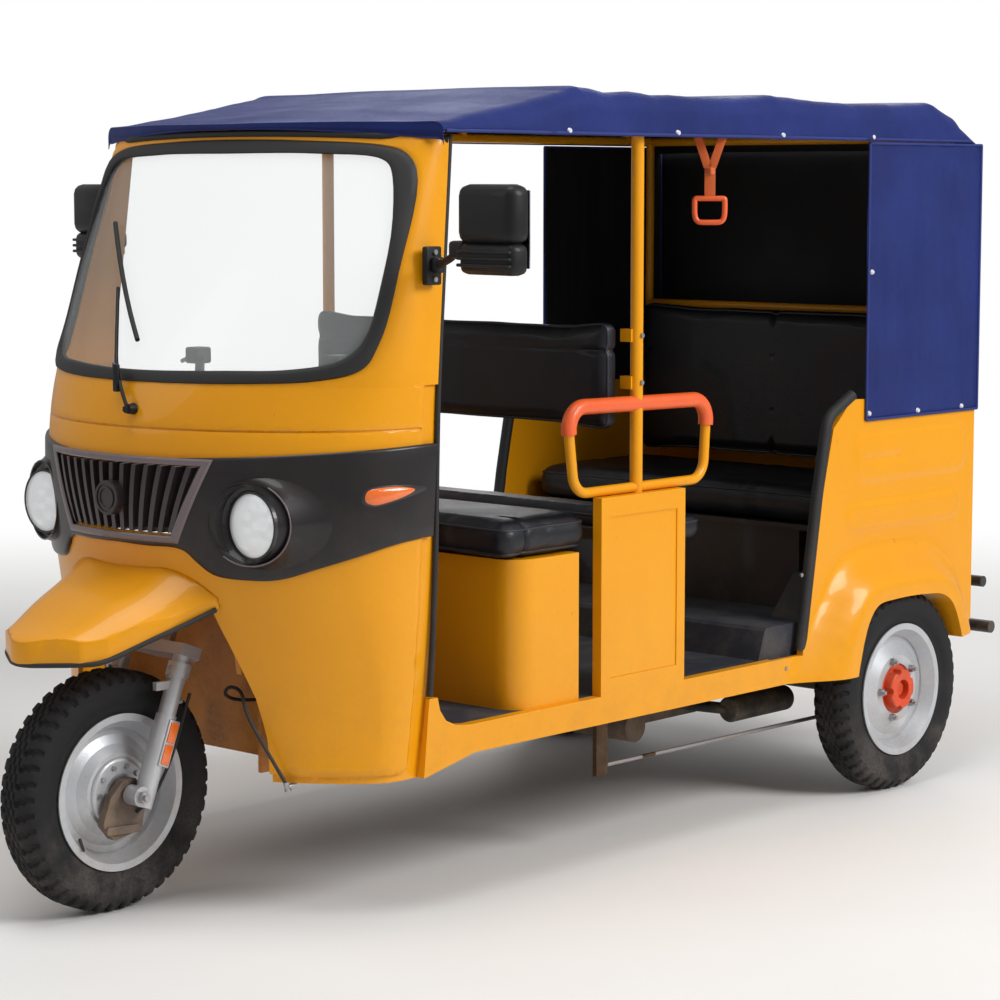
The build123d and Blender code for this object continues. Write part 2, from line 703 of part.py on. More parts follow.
# pressed disc: radius, then offset of its outer face towards the outside
FRONT_DISC = ((70, 38), (84, 36), (102, 20), (122, 9), (139, 7))
REAR_DISC = ((66, 35), (88, 35), (104, 27), (122, 18), (139, 15))


def rim(disc):
    """Wheel barrel with its flanges and a pressed disc."""
    pts = [
        (RIM_R - 11, -43), (RIM_R, -47), (RIM_R, -51), (RIM_R - 16, -50), (RIM_R - 22, -40), (RIM_R - 34, -20),
        (RIM_R - 34, 20), (RIM_R - 22, 40), (RIM_R - 16, 50), (RIM_R, 51), (RIM_R, 47), (RIM_R - 11, 43),
        (RIM_R - 18, 36), (RIM_R - 30, 17), (RIM_R - 30, -17), (RIM_R - 18, -36),
    ]
    ring = revolve(Polygon(*ccw(pts), align=None), Axis.Y)
    face = list(disc) + [(r, x - 5) for r, x in reversed(disc)]
    plate = revolve(Polygon(*ccw(face), align=None), Axis.Y)
    return Rot(0, 0, -90) * (ring + plate)


def front_tyre():
    return Pos(0, 0, TYRE_R) * tyre()


def front_rim():
    """Rim on a round hub that turns on the axle."""
    hub = Rot(0, 90, 0) * Cylinder(76, 90)
    hub = fillet(hub.edges(), 10) - Rot(0, 90, 0) * Cylinder(16, 100)
    return Pos(0, 0, TYRE_R) * (rim(FRONT_DISC) + hub)


def rear_tyre_left():
    return Pos(TRACK_HALF, WHEELBASE, TYRE_R) * tyre()


def rear_tyre_right():
    return mirror(rear_tyre_left(), about=Plane.YZ)


def rear_rim_left():
    return Pos(TRACK_HALF, WHEELBASE, TYRE_R) * rim(REAR_DISC)


def rear_rim_right():
    return mirror(rear_rim_left(), about=Plane.YZ)


def rear_drum_left():
    """Brake drum, the flange that carries the wheel disc, and the lobed hub."""
    drum = rod((-99, 0, 0), (-26, 0, 0), 84) + rod((-26, 0, 0), (30, 0, 0), 64)
    drum += rod((18, 0, 0), (30, 0, 0), 80)
    hub = rod((30, 0, 0), (56, 0, 0), 52)
    hub = fillet(hub.edges().group_by(Axis.X)[-1], 6) - rod((34, 0, 0), (60, 0, 0), 26)
    for i in range(5):
        hub -= Rot(72 * i + 20, 0, 0) * (Pos(0, 0, 54) * rod((29, 0, 0), (60, 0, 0), 11))
    nut = rod((30, 0, 0), (44, 0, 0), 17)
    one = (drum + hub + nut) - rod((-200, 0, 0), (-55, 0, 0), 16.6)
    return Pos(TRACK_HALF, WHEELBASE, TYRE_R) * one


def rear_drum_right():
    return mirror(rear_drum_left(), about=Plane.YZ)


# ---------------------------------------------------------------- steering
def leg_y(z):
    return axis_y(z) - LEG_AHEAD


def front_axle():
    return rod((-118, 0, TYRE_R), (118, 0, TYRE_R), 10)



@cache
def fork_legs():
    """Sliding leg, collar and axle lug on each side."""
    leg = rod((FORK_X, leg_y(238), 238), (FORK_X, leg_y(562), 562), 20)
    leg += rod((FORK_X, leg_y(238), 238), (FORK_X, leg_y(430), 430), 23)
    leg += rod((FORK_X, leg_y(508), 508), (FORK_X, leg_y(538), 538), 26)
    leg += rod((FORK_X, 0, TYRE_R), (FORK_X, leg_y(262), 262), 19)
    leg += Pos(FORK_X, 0, TYRE_R) * Rot(0, 90, 0) * Cylinder(22, 38)
    leg += block(94, 106, leg_y(496) - 58, leg_y(496), 487, 505)
    leg += rod((FORK_X, leg_y(455), 455), (FORK_X, leg_y(455) + 33, 455), 6)
    return both(leg) - front_axle()


def fork():
    """Yoke over the legs and the stem through the head tube."""
    yoke = Pos(0, axis_y(552), 552) * Rot(-RAKE, 0, 0) * slab_z([(-128, -62), (128, -62), (128, -8), (60, 40), (-60, 40), (-128, -8)], -13, 13)
    stem = rod((0, axis_y(552), 552), (0, axis_y(1085), 1085), 17)
    return (yoke + stem) - fork_legs()


CASTING = ((-73, 205), (-50, 264), (-16, 296), (20, 298), (50, 250), (34, 182), (-42, 168))


def brake_plate():
    """Brake casting beside the hub with its lever."""
    plate = outline_x(CASTING, 10, 54, 74)
    plate += outline_x(((-66, 184), (-66, 202), (24, 196), (30, 178)), 7, 74, 80)
    return plate - front_axle() - fork_legs()


GRIP_PATH = ((-345, 572, 1170), (-240, 500, 1184), (-130, 396, 1112), (130, 396, 1112), (240, 500, 1184), (345, 572, 1170))


def handlebar():
    y, z = axis_y(1085), 1085
    bar = tube_path(GRIP_PATH, 30, 11)
    one = rod((343, 570.6, 1170.3), (262, 515, 1181), 17)
    one += fillet((Pos(232, 486, 1180) * Box(44, 46, 38)).edges(), 6)
    one += rod((232, 470, 1180), (338, 530, 1160), 5)
    clamp = Pos(0, y + 8, z + 14) * Box(70, 46, 54)
    return bar + both(one) + clamp - rod((0, axis_y(552), 552), (0, y, z), 17)


CABLE = (
    (112, 342, 430), (112, 288, 434), (124, 232, 456), (176, 200, 488), (240, 182, 488), (296, 140, 450), (342, 158, 372), (366, 190, 300),
)


def front_cable():
    """Sheathed cable from the wheel well round to the foot of the cowl."""
    end = Vector(*CABLE[-1])
    cable = tube_path(CABLE, 30, 4) + rod(CABLE[-1], end + Vector(3, 3, -16), 6)
    cable += block(360, 376, 190, 218, 290, 298)
    return cable - wheel_well() - front_cowl()


# plan outline of the beak, then its bottom edge as station and height
BEAK_PLAN = ((0, -248), (128, -168), (158, -120), (246, 112), (246, 160), (-246, 160), (-246, 112), (-158, -120), (-128, -168))
BEAK_EDGE = ((-300, 400), (-300, 562), (-240, 568), (-131, 576), (112, 676), (220, 720), (220, 400))
# station, crown height, flat half width, shoulder point x and z, flank point x and z
BEAK = (
    (-250, 600, 44, 82, 588, 112, 566),
    (-200, 632, 62, 108, 616, 142, 588),
    (-124, 664, 84, 128, 646, 166, 612),
    (-50, 700, 104, 150, 680, 192, 642),
    (30, 738, 120, 166, 716, 212, 668),
    (70, 768, 118, 172, 742, 226, 684),
    (140, 782, 120, 190, 744, 262, 684),
)


def beak_solid(t):
    """Fairing over the front wheel, drawn in by t for its hollow."""
    faces = []
    for y, crown, flat, mx, mz, fx, fz in BEAK:
        f, mx, fx, low = flat, mx - t * 0.8, fx - t, 500.0 - t
        zc, zf, mz, fz = crown - t, crown - 4 - t, mz - t * 0.8, fz - t * 0.4
        faces.append(
            Pos(0, y, 0)
            * (
                Plane.XZ
                * make_face(
                    [
                        ThreePointArc((-f, zf), (0, zc), (f, zf)),
                        ThreePointArc((f, zf), (mx, mz), (fx, fz)),
                        Line((fx, fz), (fx, low)),
                        Line((fx, low), (-fx, low)),
                        Line((-fx, low), (-fx, fz)),
                        ThreePointArc((-fx, fz), (-mx, mz), (-f, zf)),
                    ]
                )
            )
        )
    k = 1 - t / 246
    plan = Polygon(*ccw([(x * k, y * (k if y < 0 else 1)) for x, y in BEAK_PLAN]), align=None)
    corners = [v for v in plan.vertices() if abs(v.X) > 100 and v.Y < -100]
    plan = fillet(corners, 34)
    plan = fillet(plan.vertices().sort_by(Axis.Y)[0], 70)
    return loft(faces) & (Pos(0, 0, 450) * extrude(plan, 400))


def front_fender():
    shell = beak_solid(0) - beak_solid(6)
    return shell - slab_x(BEAK_EDGE, -400, 400) - cab_solid(COWL, COWL_BACKS)


NODES = {
    "chassis_frame": chassis_frame,
    "crossmembers": crossmembers,
    "steering_head": steering_head,
    "floor_pan": floor_pan,
    "side_sills": side_sills,
    "front_cowl": front_cowl,
    "front_wheel_well": wheel_well,
    "windscreen_surround": windscreen_surround,
    "windscreen_seal": windscreen_seal,
    "windscreen_glass": windscreen_glass,
    "fascia_band": fascia_band,
    "grille": grille,
    "headlamp_bowls": headlamps,
    "headlamp_lenses": headlamp_lenses,
    "indicators": indicators,
    "wiper": wiper,
    "mirrors": mirrors,
    "dashboard": dashboard,
    "driver_seat_box": driver_seat_box,
    "driver_cushion": driver_cushion,
    "driver_backrest": driver_backrest,
    "jump_seat": jump_seat,
    "bench_box": bench_box,
    "rear_step": rear_step,
    "rear_bench": rear_bench,
    "rear_backrest": rear_backrest,
    "side_panels": side_panels,
    "grab_loops": grab_loops,
    "loop_grips": loop_grips,
    "roof_frame": roof_frame,
    "strap_handles": strap_handles,
    "roof_canopy": roof_canopy,
    "canvas_curtains": canvas_curtains,
    "quarter_panel_left": quarter_panel_left,
    "quarter_panel_right": quarter_panel_right,
    "wheel_wells": wheel_wells,
    "quarter_trims": quarter_trims,
    "rear_panel": rear_panel,
    "tail_lamps": tail_lamps,
    "rear_bumper": rear_bumper,
    "engine_block": engine_block,
    "silencer": silencer,
    "brake_linkage": brake_linkage,
    "rear_axle": rear_axle,
    "leaf_springs": leaf_springs,
    "front_tyre": front_tyre,
    "front_rim": front_rim,
    "rear_tyre_left": rear_tyre_left,
    "rear_tyre_right": rear_tyre_right,
    "rear_rim_left": rear_rim_left,
    "rear_rim_right": rear_rim_right,
    "rear_drum_left": rear_drum_left,
    "rear_drum_right": rear_drum_right,
    "fork_legs": fork_legs,
    "fork": fork,
    "front_axle": front_axle,
    "brake_plate": brake_plate,
    "handlebar": handlebar,
    "front_cable": front_cable,
    "front_fender": front_fender,
}


def main():
    os.makedirs("parts", exist_ok=True)
    for old in os.listdir("parts"):
        os.remove(os.path.join("parts", old))
    for name, make in NODES.items():
        shape = Pos(0, AXLE_Y, 0) * make()
        solids = shape.solids()
        box = shape.bounding_box()
        print(
            f"{name:22s} solids {len(solids):3d} vol {sum(s.volume for s in solids) / 1e6:8.3f} l"
            f"  x {box.min.X:7.1f} {box.max.X:7.1f}  y {box.min.Y:7.1f} {box.max.Y:7.1f}"
            f"  z {box.min.Z:7.1f} {box.max.Z:7.1f}"
        )
        export_step(shape, os.path.join("parts", f"{name}.step"))


if __name__ == "__main__":
    main()
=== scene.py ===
"""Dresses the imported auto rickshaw: camera, studio, finishes and fine pieces.

Lengths are metres in the shared frame.  Stations are given as distances behind
the front axle and moved by FRONT_AXLE_Y.
"""

import json
import logging
import math
from collections.abc import Callable, Sequence
from dataclasses import dataclass, field
from enum import Enum

import bmesh
import bpy
from mathutils import Matrix, Vector, geometry, noise

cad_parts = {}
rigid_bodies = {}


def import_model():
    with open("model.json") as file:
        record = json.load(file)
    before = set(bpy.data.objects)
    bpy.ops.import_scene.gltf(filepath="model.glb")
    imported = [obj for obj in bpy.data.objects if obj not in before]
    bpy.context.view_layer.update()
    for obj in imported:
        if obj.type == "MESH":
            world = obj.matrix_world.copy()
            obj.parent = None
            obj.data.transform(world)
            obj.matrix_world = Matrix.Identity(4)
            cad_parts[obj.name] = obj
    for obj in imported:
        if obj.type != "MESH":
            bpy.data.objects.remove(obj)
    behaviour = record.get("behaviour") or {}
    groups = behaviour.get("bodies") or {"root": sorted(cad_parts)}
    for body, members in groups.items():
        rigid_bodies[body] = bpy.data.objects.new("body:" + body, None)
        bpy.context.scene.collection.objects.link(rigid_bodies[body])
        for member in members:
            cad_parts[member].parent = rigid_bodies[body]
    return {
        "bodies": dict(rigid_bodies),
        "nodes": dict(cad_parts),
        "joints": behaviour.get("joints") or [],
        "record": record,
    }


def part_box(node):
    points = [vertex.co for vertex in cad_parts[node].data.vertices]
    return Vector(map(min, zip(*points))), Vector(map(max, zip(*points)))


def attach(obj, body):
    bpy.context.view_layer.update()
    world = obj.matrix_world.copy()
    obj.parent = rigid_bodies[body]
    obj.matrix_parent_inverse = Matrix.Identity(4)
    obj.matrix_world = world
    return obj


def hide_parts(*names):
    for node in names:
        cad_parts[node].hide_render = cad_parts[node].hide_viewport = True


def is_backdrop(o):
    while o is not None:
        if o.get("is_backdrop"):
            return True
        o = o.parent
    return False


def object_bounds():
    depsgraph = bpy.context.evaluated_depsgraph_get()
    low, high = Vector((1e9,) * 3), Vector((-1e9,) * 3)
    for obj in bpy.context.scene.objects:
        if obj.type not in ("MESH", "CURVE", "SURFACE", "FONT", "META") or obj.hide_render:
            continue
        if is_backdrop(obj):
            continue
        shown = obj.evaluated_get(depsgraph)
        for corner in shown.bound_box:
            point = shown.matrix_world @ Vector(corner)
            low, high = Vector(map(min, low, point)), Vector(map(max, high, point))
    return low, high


log = logging.getLogger("rickshaw")
FRONT_AXLE_Y = -1.221
WHEELBASE = 2.178
AXLE_Z = 0.265
RAKE = math.radians(21.3)
AHEAD = Vector((0, -1, 0))
AFT = Vector((0, 1, 0))
Point = tuple[float, float, float]
Pair = tuple[float, float]
Pairs = tuple[Pair, ...]
Mesh = bmesh.types.BMesh
Piece = bpy.types.Object
Socket = bpy.types.NodeSocket


def at(x: float, y: float, z: float) -> Vector:
    """A point given with its station behind the front axle, in metres."""
    return Vector((x, y + FRONT_AXLE_Y, z))


def tint(code: str) -> tuple[float, float, float, float]:
    """Turn a display colour such as F5A81C into the renderer's linear colour."""
    parts = [int(code[i : i + 2], 16) / 255 for i in (0, 2, 4)]
    flat = [c / 12.92 if c <= 0.04045 else ((c + 0.055) / 1.055) ** 2.4 for c in parts]
    return (*flat, 1.0)


def linked(name: str, data: bpy.types.ID) -> Piece:
    """Return a new object with this data, linked to the scene."""
    obj = bpy.data.objects.new(name, data)
    bpy.context.scene.collection.objects.link(obj)
    return obj


# ------------------------------------------------------------------ node trees
class Tree:
    """Places nodes in a shader tree and joins their sockets.

    Args:
        tree: The node tree to fill.
    """

    def __init__(self, tree: bpy.types.NodeTree) -> None:
        """Keep the tree that is filled."""
        self.tree = tree

    def put(self, kind: str, inputs: dict | None = None, **settings: object) -> bpy.types.Node:
        """Add one node.

        Args:
            kind: The node's type without its ShaderNode prefix.
            inputs: Values or source sockets by input name or number.
            **settings: Attributes set on the node itself.

        Returns:
            The new node.
        """
        node = self.tree.nodes.new(kind if kind.startswith("Node") else "ShaderNode" + kind)
        for key, value in settings.items():
            setattr(node, key, value)
        for key, value in (inputs or {}).items():
            if isinstance(value, Socket):
                self.tree.links.new(value, node.inputs[key])
            else:
                node.inputs[key].default_value = value
        return node

    def math(self, how: str, a: object, b: object = 0.0) -> Socket:
        """Join two values by a math operation and return the result socket."""
        return self.put("Math", {0: a, 1: b}, operation=how).outputs[0]

    def times(self, a: object, b: object) -> Socket:
        """Multiply two values and return the result socket."""
        return self.math("MULTIPLY", a, b)

    def clouds(self, spot: Socket, scale: object, detail: float, rough: float = 0.5) -> Socket:
        """Place a soft noise over a vector and return its value socket."""
        settings = {"Vector": spot, "Scale": scale, "Detail": detail, "Roughness": rough}
        return self.put("TexNoise", settings).outputs[0]

    def ramp(self, value: object, low: float, high: float, a: float = 0.0, b: float = 1.0) -> Socket:
        """Map low..high to a..b with soft ends and return the result socket."""
        span = {"Value": value, "From Min": low, "From Max": high, "To Min": a, "To Max": b}
        return self.put("MapRange", span, interpolation_type="SMOOTHSTEP").outputs[0]

    def mix(self, mask: object, a: object, b: object) -> Socket:
        """Mix two colours by a mask and return the colour socket."""
        node = self.put("Mix", {0: mask}, data_type="RGBA")
        for key, value in ((6, a), (7, b)):
            if isinstance(value, Socket):
                self.tree.links.new(value, node.inputs[key])
            else:
                node.inputs[key].default_value = value
        return node.outputs[2]


class Effect(Enum):
    """Surface effects shared by the finishes."""

    MOTTLE = "Mottle"
    GRIT = "Grit"
    ROAD_DUST = "Road dust"
    CHIPS = "Chips"
    WEAVE = "Weave"


class EffectShelf:
    """Builds each shared effect once as a node group and hands it out."""

    def __init__(self) -> None:
        """Start with an empty shelf."""
        self.made: dict[Effect, bpy.types.NodeTree] = {}

    def take(self, effect: Effect) -> bpy.types.NodeTree:
        """Return the effect's node group, building it the first time.

        Args:
            effect: Which effect is wanted.

        Returns:
            The shared node group.
        """
        if effect not in self.made:
            builder = {
                Effect.MOTTLE: self._mottle,
                Effect.GRIT: self._grit,
                Effect.ROAD_DUST: self._road_dust,
                Effect.CHIPS: self._chips,
                Effect.WEAVE: self._weave,
            }[effect]
            self.made[effect] = builder(effect.value)
        return self.made[effect]

    @staticmethod
    def _open(name: str, numbers: dict[str, float], out: str) -> tuple[Tree, object, Socket]:
        """Start a group with a Vector input, named numbers and one output.

        Args:
            name: Group name.
            numbers: Float inputs and their usual values.
            out: Name of the output value.

        Returns:
            The tree helper, the group's inputs by name and the socket of its output.
        """
        group = bpy.data.node_groups.new(name, "ShaderNodeTree")
        group.interface.new_socket("Vector", in_out="INPUT", socket_type="NodeSocketVector")
        for key, value in numbers.items():
            number = group.interface.new_socket(key, in_out="INPUT", socket_type="NodeSocketFloat")
            number.default_value = value
        group.interface.new_socket(out, in_out="OUTPUT", socket_type="NodeSocketFloat")
        tree = Tree(group)
        return tree, tree.put("NodeGroupInput").outputs, tree.put("NodeGroupOutput").inputs[0]

    def _mottle(self, name: str) -> bpy.types.NodeTree:
        """Broad soft variation of tone."""
        t, src, end = self._open(name, {"Scale": 4.0, "Contrast": 0.5}, "Mask")
        wide = t.clouds(src["Vector"], src["Scale"], 4.0)
        fine = t.clouds(src["Vector"], 90.0, 3.0)
        both = t.math("ADD", t.times(wide, 0.75), t.times(fine, 0.25))
        spread = t.times(t.math("SUBTRACT", both, 0.5), src["Contrast"])
        t.tree.links.new(t.math("ADD", t.times(spread, 3.0), 0.5), end)
        return t.tree

    def _grit(self, name: str) -> bpy.types.NodeTree:
        """Fine moulded or painted grain as a height."""
        t, src, end = self._open(name, {"Scale": 400.0, "Ripple": 0.3}, "Height")
        cells = t.put("TexVoronoi", {"Vector": src["Vector"], "Scale": src["Scale"]})
        soft = t.clouds(src["Vector"], 14.0, 2.0)
        height = t.math("ADD", cells.outputs["Distance"], t.times(soft, src["Ripple"]))
        t.tree.links.new(height, end)
        return t.tree

    def _road_dust(self, name: str) -> bpy.types.NodeTree:
        """Dust and splashes that thin out with height above the road."""
        t, src, end = self._open(name, {"Reach": 0.8, "Amount": 0.4}, "Mask")
        z = t.put("SeparateXYZ", {0: src["Vector"]}).outputs[2]
        fall = t.math("SUBTRACT", 1.0, t.math("DIVIDE", z, src["Reach"]))
        cloud = t.clouds(src["Vector"], 9.0, 6.0, 0.65)
        specks = t.clouds(src["Vector"], 160.0, 2.0)
        body = t.times(t.ramp(fall, 0.0, 1.0), t.ramp(cloud, 0.38, 0.68))
        body = t.times(body, t.ramp(specks, 0.3, 0.6, 0.55, 1.0))
        t.tree.links.new(t.times(body, src["Amount"]), end)
        return t.tree

    def _chips(self, name: str) -> bpy.types.NodeTree:
        """Sparse chips and short scuffs."""
        t, src, end = self._open(name, {"Scale": 30.0, "Amount": 0.5}, "Mask")
        spots = t.clouds(src["Vector"], src["Scale"], 8.0, 0.7)
        zones = t.clouds(src["Vector"], 3.0, 1.0)
        mask = t.times(t.ramp(spots, 0.66, 0.70), t.ramp(zones, 0.5, 0.62))
        t.tree.links.new(t.times(mask, src["Amount"]), end)
        return t.tree

    def _weave(self, name: str) -> bpy.types.NodeTree:
        """Plain weave of two crossing threads as a height."""
        t, src, end = self._open(name, {"Pitch": 500.0}, "Height")
        part = t.put("SeparateXYZ", {0: src["Vector"]})
        waves = [t.math("SINE", t.times(part.outputs[i], src["Pitch"])) for i in (0, 1)]
        t.tree.links.new(t.math("ADD", t.times(waves[0], waves[1]), 1.0), end)
        return t.tree


@dataclass(frozen=True)
class Finish:
    """How one kind of surface looks.

    Colours are display codes; grain_depth is in metres; the masks run 0..1.
    """

    name: str
    colour: str
    second: str
    rough: float = 0.5
    metal: float = 0.0
    coat: float = 0.0
    mottle_scale: float = 3.0
    mottle: float = 0.4
    grain: float = 500.0
    grain_depth: float = 0.0002
    ripple: float = 0.3
    dust: float = 0.0
    dust_reach: float = 0.9
    dust_colour: str = "9A8468"
    chips: float = 0.0
    chip_colour: str = "6B5A48"
    weave: float = 0.0
    sheen: float = 0.0
    specular: float = 0.5
    # axis, lowest and highest coordinate of a part shown in another colour
    zone: tuple[int, float, float] | None = None
    zone_colour: str = "7A5A3E"
    alpha: float = 1.0
    glow: float = 0.0

    def build(self, shelf: EffectShelf) -> bpy.types.Material:
        """Make the material.

        Args:
            shelf: Where the shared effects are kept.

        Returns:
            The finished material.
        """
        mat = bpy.data.materials.new(self.name)
        mat.use_nodes = True
        mat.diffuse_color = tint(self.colour)
        t = Tree(mat.node_tree)
        bsdf = mat.node_tree.nodes["Principled BSDF"]
        coords = t.put("TexCoord")
        spot = coords.outputs["Object"]

        def group(effect: Effect, **numbers: float) -> Socket:
            """Place a shared effect on this material and return its output."""
            node = t.put("Group", node_tree=shelf.take(effect))
            t.tree.links.new(coords.outputs["UV"] if effect is Effect.WEAVE else spot, node.inputs["Vector"])
            for key, value in numbers.items():
                node.inputs[key].default_value = value
            return node.outputs[0]

        tone = group(Effect.MOTTLE, Scale=self.mottle_scale, Contrast=self.mottle)
        colour = t.mix(tone, tint(self.colour), tint(self.second))
        if self.zone:
            axis, low, high = self.zone
            place = t.math("ABSOLUTE", t.put("SeparateXYZ", {0: spot}).outputs[axis])
            inside = t.times(t.math("GREATER_THAN", place, low), t.math("LESS_THAN", place, high))
            colour = t.mix(inside, colour, tint(self.zone_colour))
        rough = t.ramp(tone, 0.0, 1.0, max(self.rough - 0.06, 0.02), min(self.rough + 0.08, 1.0))
        height = group(Effect.GRIT, Scale=self.grain, Ripple=self.ripple)
        if self.chips:
            worn = group(Effect.CHIPS, Scale=34.0, Amount=self.chips)
            colour = t.mix(worn, colour, tint(self.chip_colour))
            rough = t.math("ADD", rough, t.times(worn, 0.25))
        if self.dust:
            film = group(Effect.ROAD_DUST, Reach=self.dust_reach, Amount=self.dust)
            colour = t.mix(film, colour, tint(self.dust_colour))
            rough = t.math("ADD", rough, t.times(film, 0.3))
        if self.weave:
            height = t.math("ADD", height, t.times(group(Effect.WEAVE, Pitch=self.weave), 0.5))
        bump = t.put("Bump", {"Height": height, "Strength": 1.0, "Distance": self.grain_depth})
        t.tree.links.new(colour, bsdf.inputs["Base Color"])
        t.tree.links.new(rough, bsdf.inputs["Roughness"])
        t.tree.links.new(bump.outputs[0], bsdf.inputs["Normal"])
        bsdf.inputs["Metallic"].default_value = self.metal
        bsdf.inputs["Coat Weight"].default_value = self.coat
        bsdf.inputs["Coat Roughness"].default_value = 0.06
        bsdf.inputs["Specular IOR Level"].default_value = self.specular
        bsdf.inputs["Sheen Weight"].default_value = self.sheen
        bsdf.inputs["Alpha"].default_value = self.alpha
        if self.glow:
            bsdf.inputs["Emission Color"].default_value = tint(self.colour)
            bsdf.inputs["Emission Strength"].default_value = self.glow
        return mat


FINISHES = (
    Finish(
        "body_paint", "ECA00E", "E4960A", rough=0.34, coat=0.24, specular=0.25, mottle=0.5, grain=900,
        grain_depth=0.00004, ripple=6.0, dust=0.30, dust_reach=0.75, dust_colour="A5763A", chips=0.5,
        chip_colour="8A5A1C",
    ),
    Finish(
        "frame_paint", "1A1A1C", "242426", rough=0.45, coat=0.15, dust=0.55, dust_reach=0.7, chips=0.6,
        chip_colour="4A4038",
    ),
    # well_paint: its base is a darker orange than body_paint, painted shade inside the wheel well; the dark
    # brown dust film is road dirt
    Finish(
        "well_paint", "C9801C", "A9661A", rough=0.5, coat=0.1, dust=0.8, dust_reach=1.2, dust_colour="6E4A2A",
    ),
    Finish(
        "charcoal_trim", "151113", "1E191B", specular=0.3, rough=0.36, coat=0.3, grain=1400,
        grain_depth=0.00012, dust=0.12, dust_reach=1.3,
    ),
    Finish(
        "grille_plastic", "2A2224", "3C3235", rough=0.30, coat=0.3, grain=900, grain_depth=0.00005, dust=0.1,
        dust_reach=1.3,
    ),
    Finish("grille_frame", "63575A", "7A6C6F", rough=0.35, coat=0.3, grain=900, grain_depth=0.00005),
    Finish("black_rubber", "161618", "202022", rough=0.62, grain=1100, grain_depth=0.00015, dust=0.2),
    # screen_glass: its faint white film (alpha 0.13) is partly real haze on the pane and partly painted
    # reflection
    Finish(
        "screen_glass", "EDF3F3", "E6EEEE", rough=0.03, alpha=0.13, grain=60, grain_depth=0.00001, coat=0.4,
        mottle=0.1,
    ),
    Finish("lamp_bowl", "1E1D20", "2A282B", rough=0.32, coat=0.25, grain=900, grain_depth=0.00006),
    Finish(
        "lamp_glass", "F2F5F7", "FFFFFF", rough=0.08, alpha=0.55, grain=120, grain_depth=0.0002, coat=0.5,
        mottle=0.2, glow=0.15,
    ),
    Finish(
        "amber_lens", "E8641C", "F07A2C", rough=0.12, coat=0.8, grain=260, grain_depth=0.0004,
        mottle_scale=30,
    ),
    Finish(
        "red_lens", "A31212", "B81C18", rough=0.12, coat=0.8, grain=260, grain_depth=0.0004, mottle_scale=30,
    ),
    Finish(
        "mirror_plastic", "0E0E11", "17171A", specular=0.25, rough=0.48, coat=0.1, grain=1300,
        grain_depth=0.00014, mottle=0.6,
    ),
    Finish(
        "seat_vinyl", "090A0E", "10131C", specular=0.35, rough=0.40, coat=0.12, grain=620,
        grain_depth=0.00035, ripple=2.0, mottle=0.7, mottle_scale=6, dust=0.15, dust_reach=1.6,
        dust_colour="4A4E5C",
    ),
    Finish("seat_welt", "181B24", "222631", rough=0.45, grain=900, grain_depth=0.0002),
    Finish(
        "floor_mat", "1E212B", "2A2E39", rough=0.7, grain=380, grain_depth=0.0004, dust=0.5, dust_reach=1.2,
        dust_colour="6A6258",
    ),
    Finish(
        "grip_orange", "E4541F", "EE6A2E", rough=0.42, coat=0.2, grain=900, grain_depth=0.00015,
        mottle_scale=12,
    ),
    Finish("strap_web", "D9661F", "C4541A", rough=0.75, grain=1500, grain_depth=0.0004, sheen=0.3),
    Finish(
        "canvas_blue", "172A72", "11205C", specular=0.2, rough=0.50, sheen=0.03, mottle=0.8, mottle_scale=5,
        grain=900, grain_depth=0.0004, ripple=1.0, weave=1900.0,
    ),
    # canvas_lining: near black inner side of the canvas sheets, far darker than the blue canvas: painted
    # shade
    Finish(
        "canvas_lining", "050609", "0A0B10", rough=0.7, mottle=0.6, mottle_scale=5, grain=900,
        grain_depth=0.0003,
    ),
    Finish("canvas_hem", "14225A", "1D2F7C", rough=0.65, grain=900, grain_depth=0.0003),
    Finish(
        "zinc_steel", "B9B9BB", "9D9DA0", rough=0.34, metal=0.9, grain=900, grain_depth=0.00008,
        mottle_scale=20, dust=0.3,
    ),
    Finish("bright_chrome", "DCDDE0", "C8CACE", rough=0.10, metal=1.0, grain=200, grain_depth=0.00002),
    Finish(
        "fork_silver", "B4B5B8", "C6C7CA", rough=0.36, metal=0.55, coat=0.2, mottle_scale=14, mottle=0.7,
        dust=0.35, dust_reach=0.7, chips=0.5, chip_colour="6A6764",
    ),
    Finish(
        "rim_silver", "C8CACE", "B8BBC0", rough=0.38, metal=0.45, coat=0.2, mottle_scale=10, mottle=0.6,
        dust=0.4, dust_reach=0.6, chips=0.5, chip_colour="7A6E62",
    ),
    Finish(
        "linkage_steel", "B0B0B2", "98989B", rough=0.38, metal=0.85, mottle_scale=20, grain=900,
        grain_depth=0.0001, dust=0.4, zone=(1, 0.065, 0.115), zone_colour="4A3626",
    ),
    # drum_red: near black inboard of |x| 0.5748, orange-red only on the hub's outer face
    Finish(
        "drum_red", "DE4A1A", "C23A12", zone=(0, 0.0, 0.5748), zone_colour="1A1716", rough=0.5, mottle=0.9,
        mottle_scale=20, dust=0.5, dust_reach=0.7, chips=0.8, chip_colour="3A241A",
    ),
    Finish(
        "cast_brown", "7A6A5E", "5E5048", rough=0.65, metal=0.3, mottle=0.9, mottle_scale=26, grain=420,
        grain_depth=0.0007, dust=0.6, dust_reach=0.8,
    ),
    Finish(
        "tyre_rubber", "19191B", "232223", specular=0.3, rough=0.78, mottle=0.6, mottle_scale=12, grain=700,
        grain_depth=0.0003, dust=0.55, dust_reach=0.35, dust_colour="6E6660",
    ),
    Finish(
        "mirror_glass", "C9D2D6", "C3CCD0", rough=0.03, metal=1.0, grain=50, grain_depth=0.00001, mottle=0.1,
    ),
    Finish("lamp_core", "F4F6F8", "E4E8EC", rough=0.25, glow=0.25, mottle_scale=40),
    Finish("stud_white", "D8D8DC", "F0F0F2", rough=0.3, metal=0.3, coat=0.3),
    Finish("plate_white", "E4E2DA", "D4D0C6", rough=0.45, coat=0.1, dust=0.3, dust_reach=1.0),
)


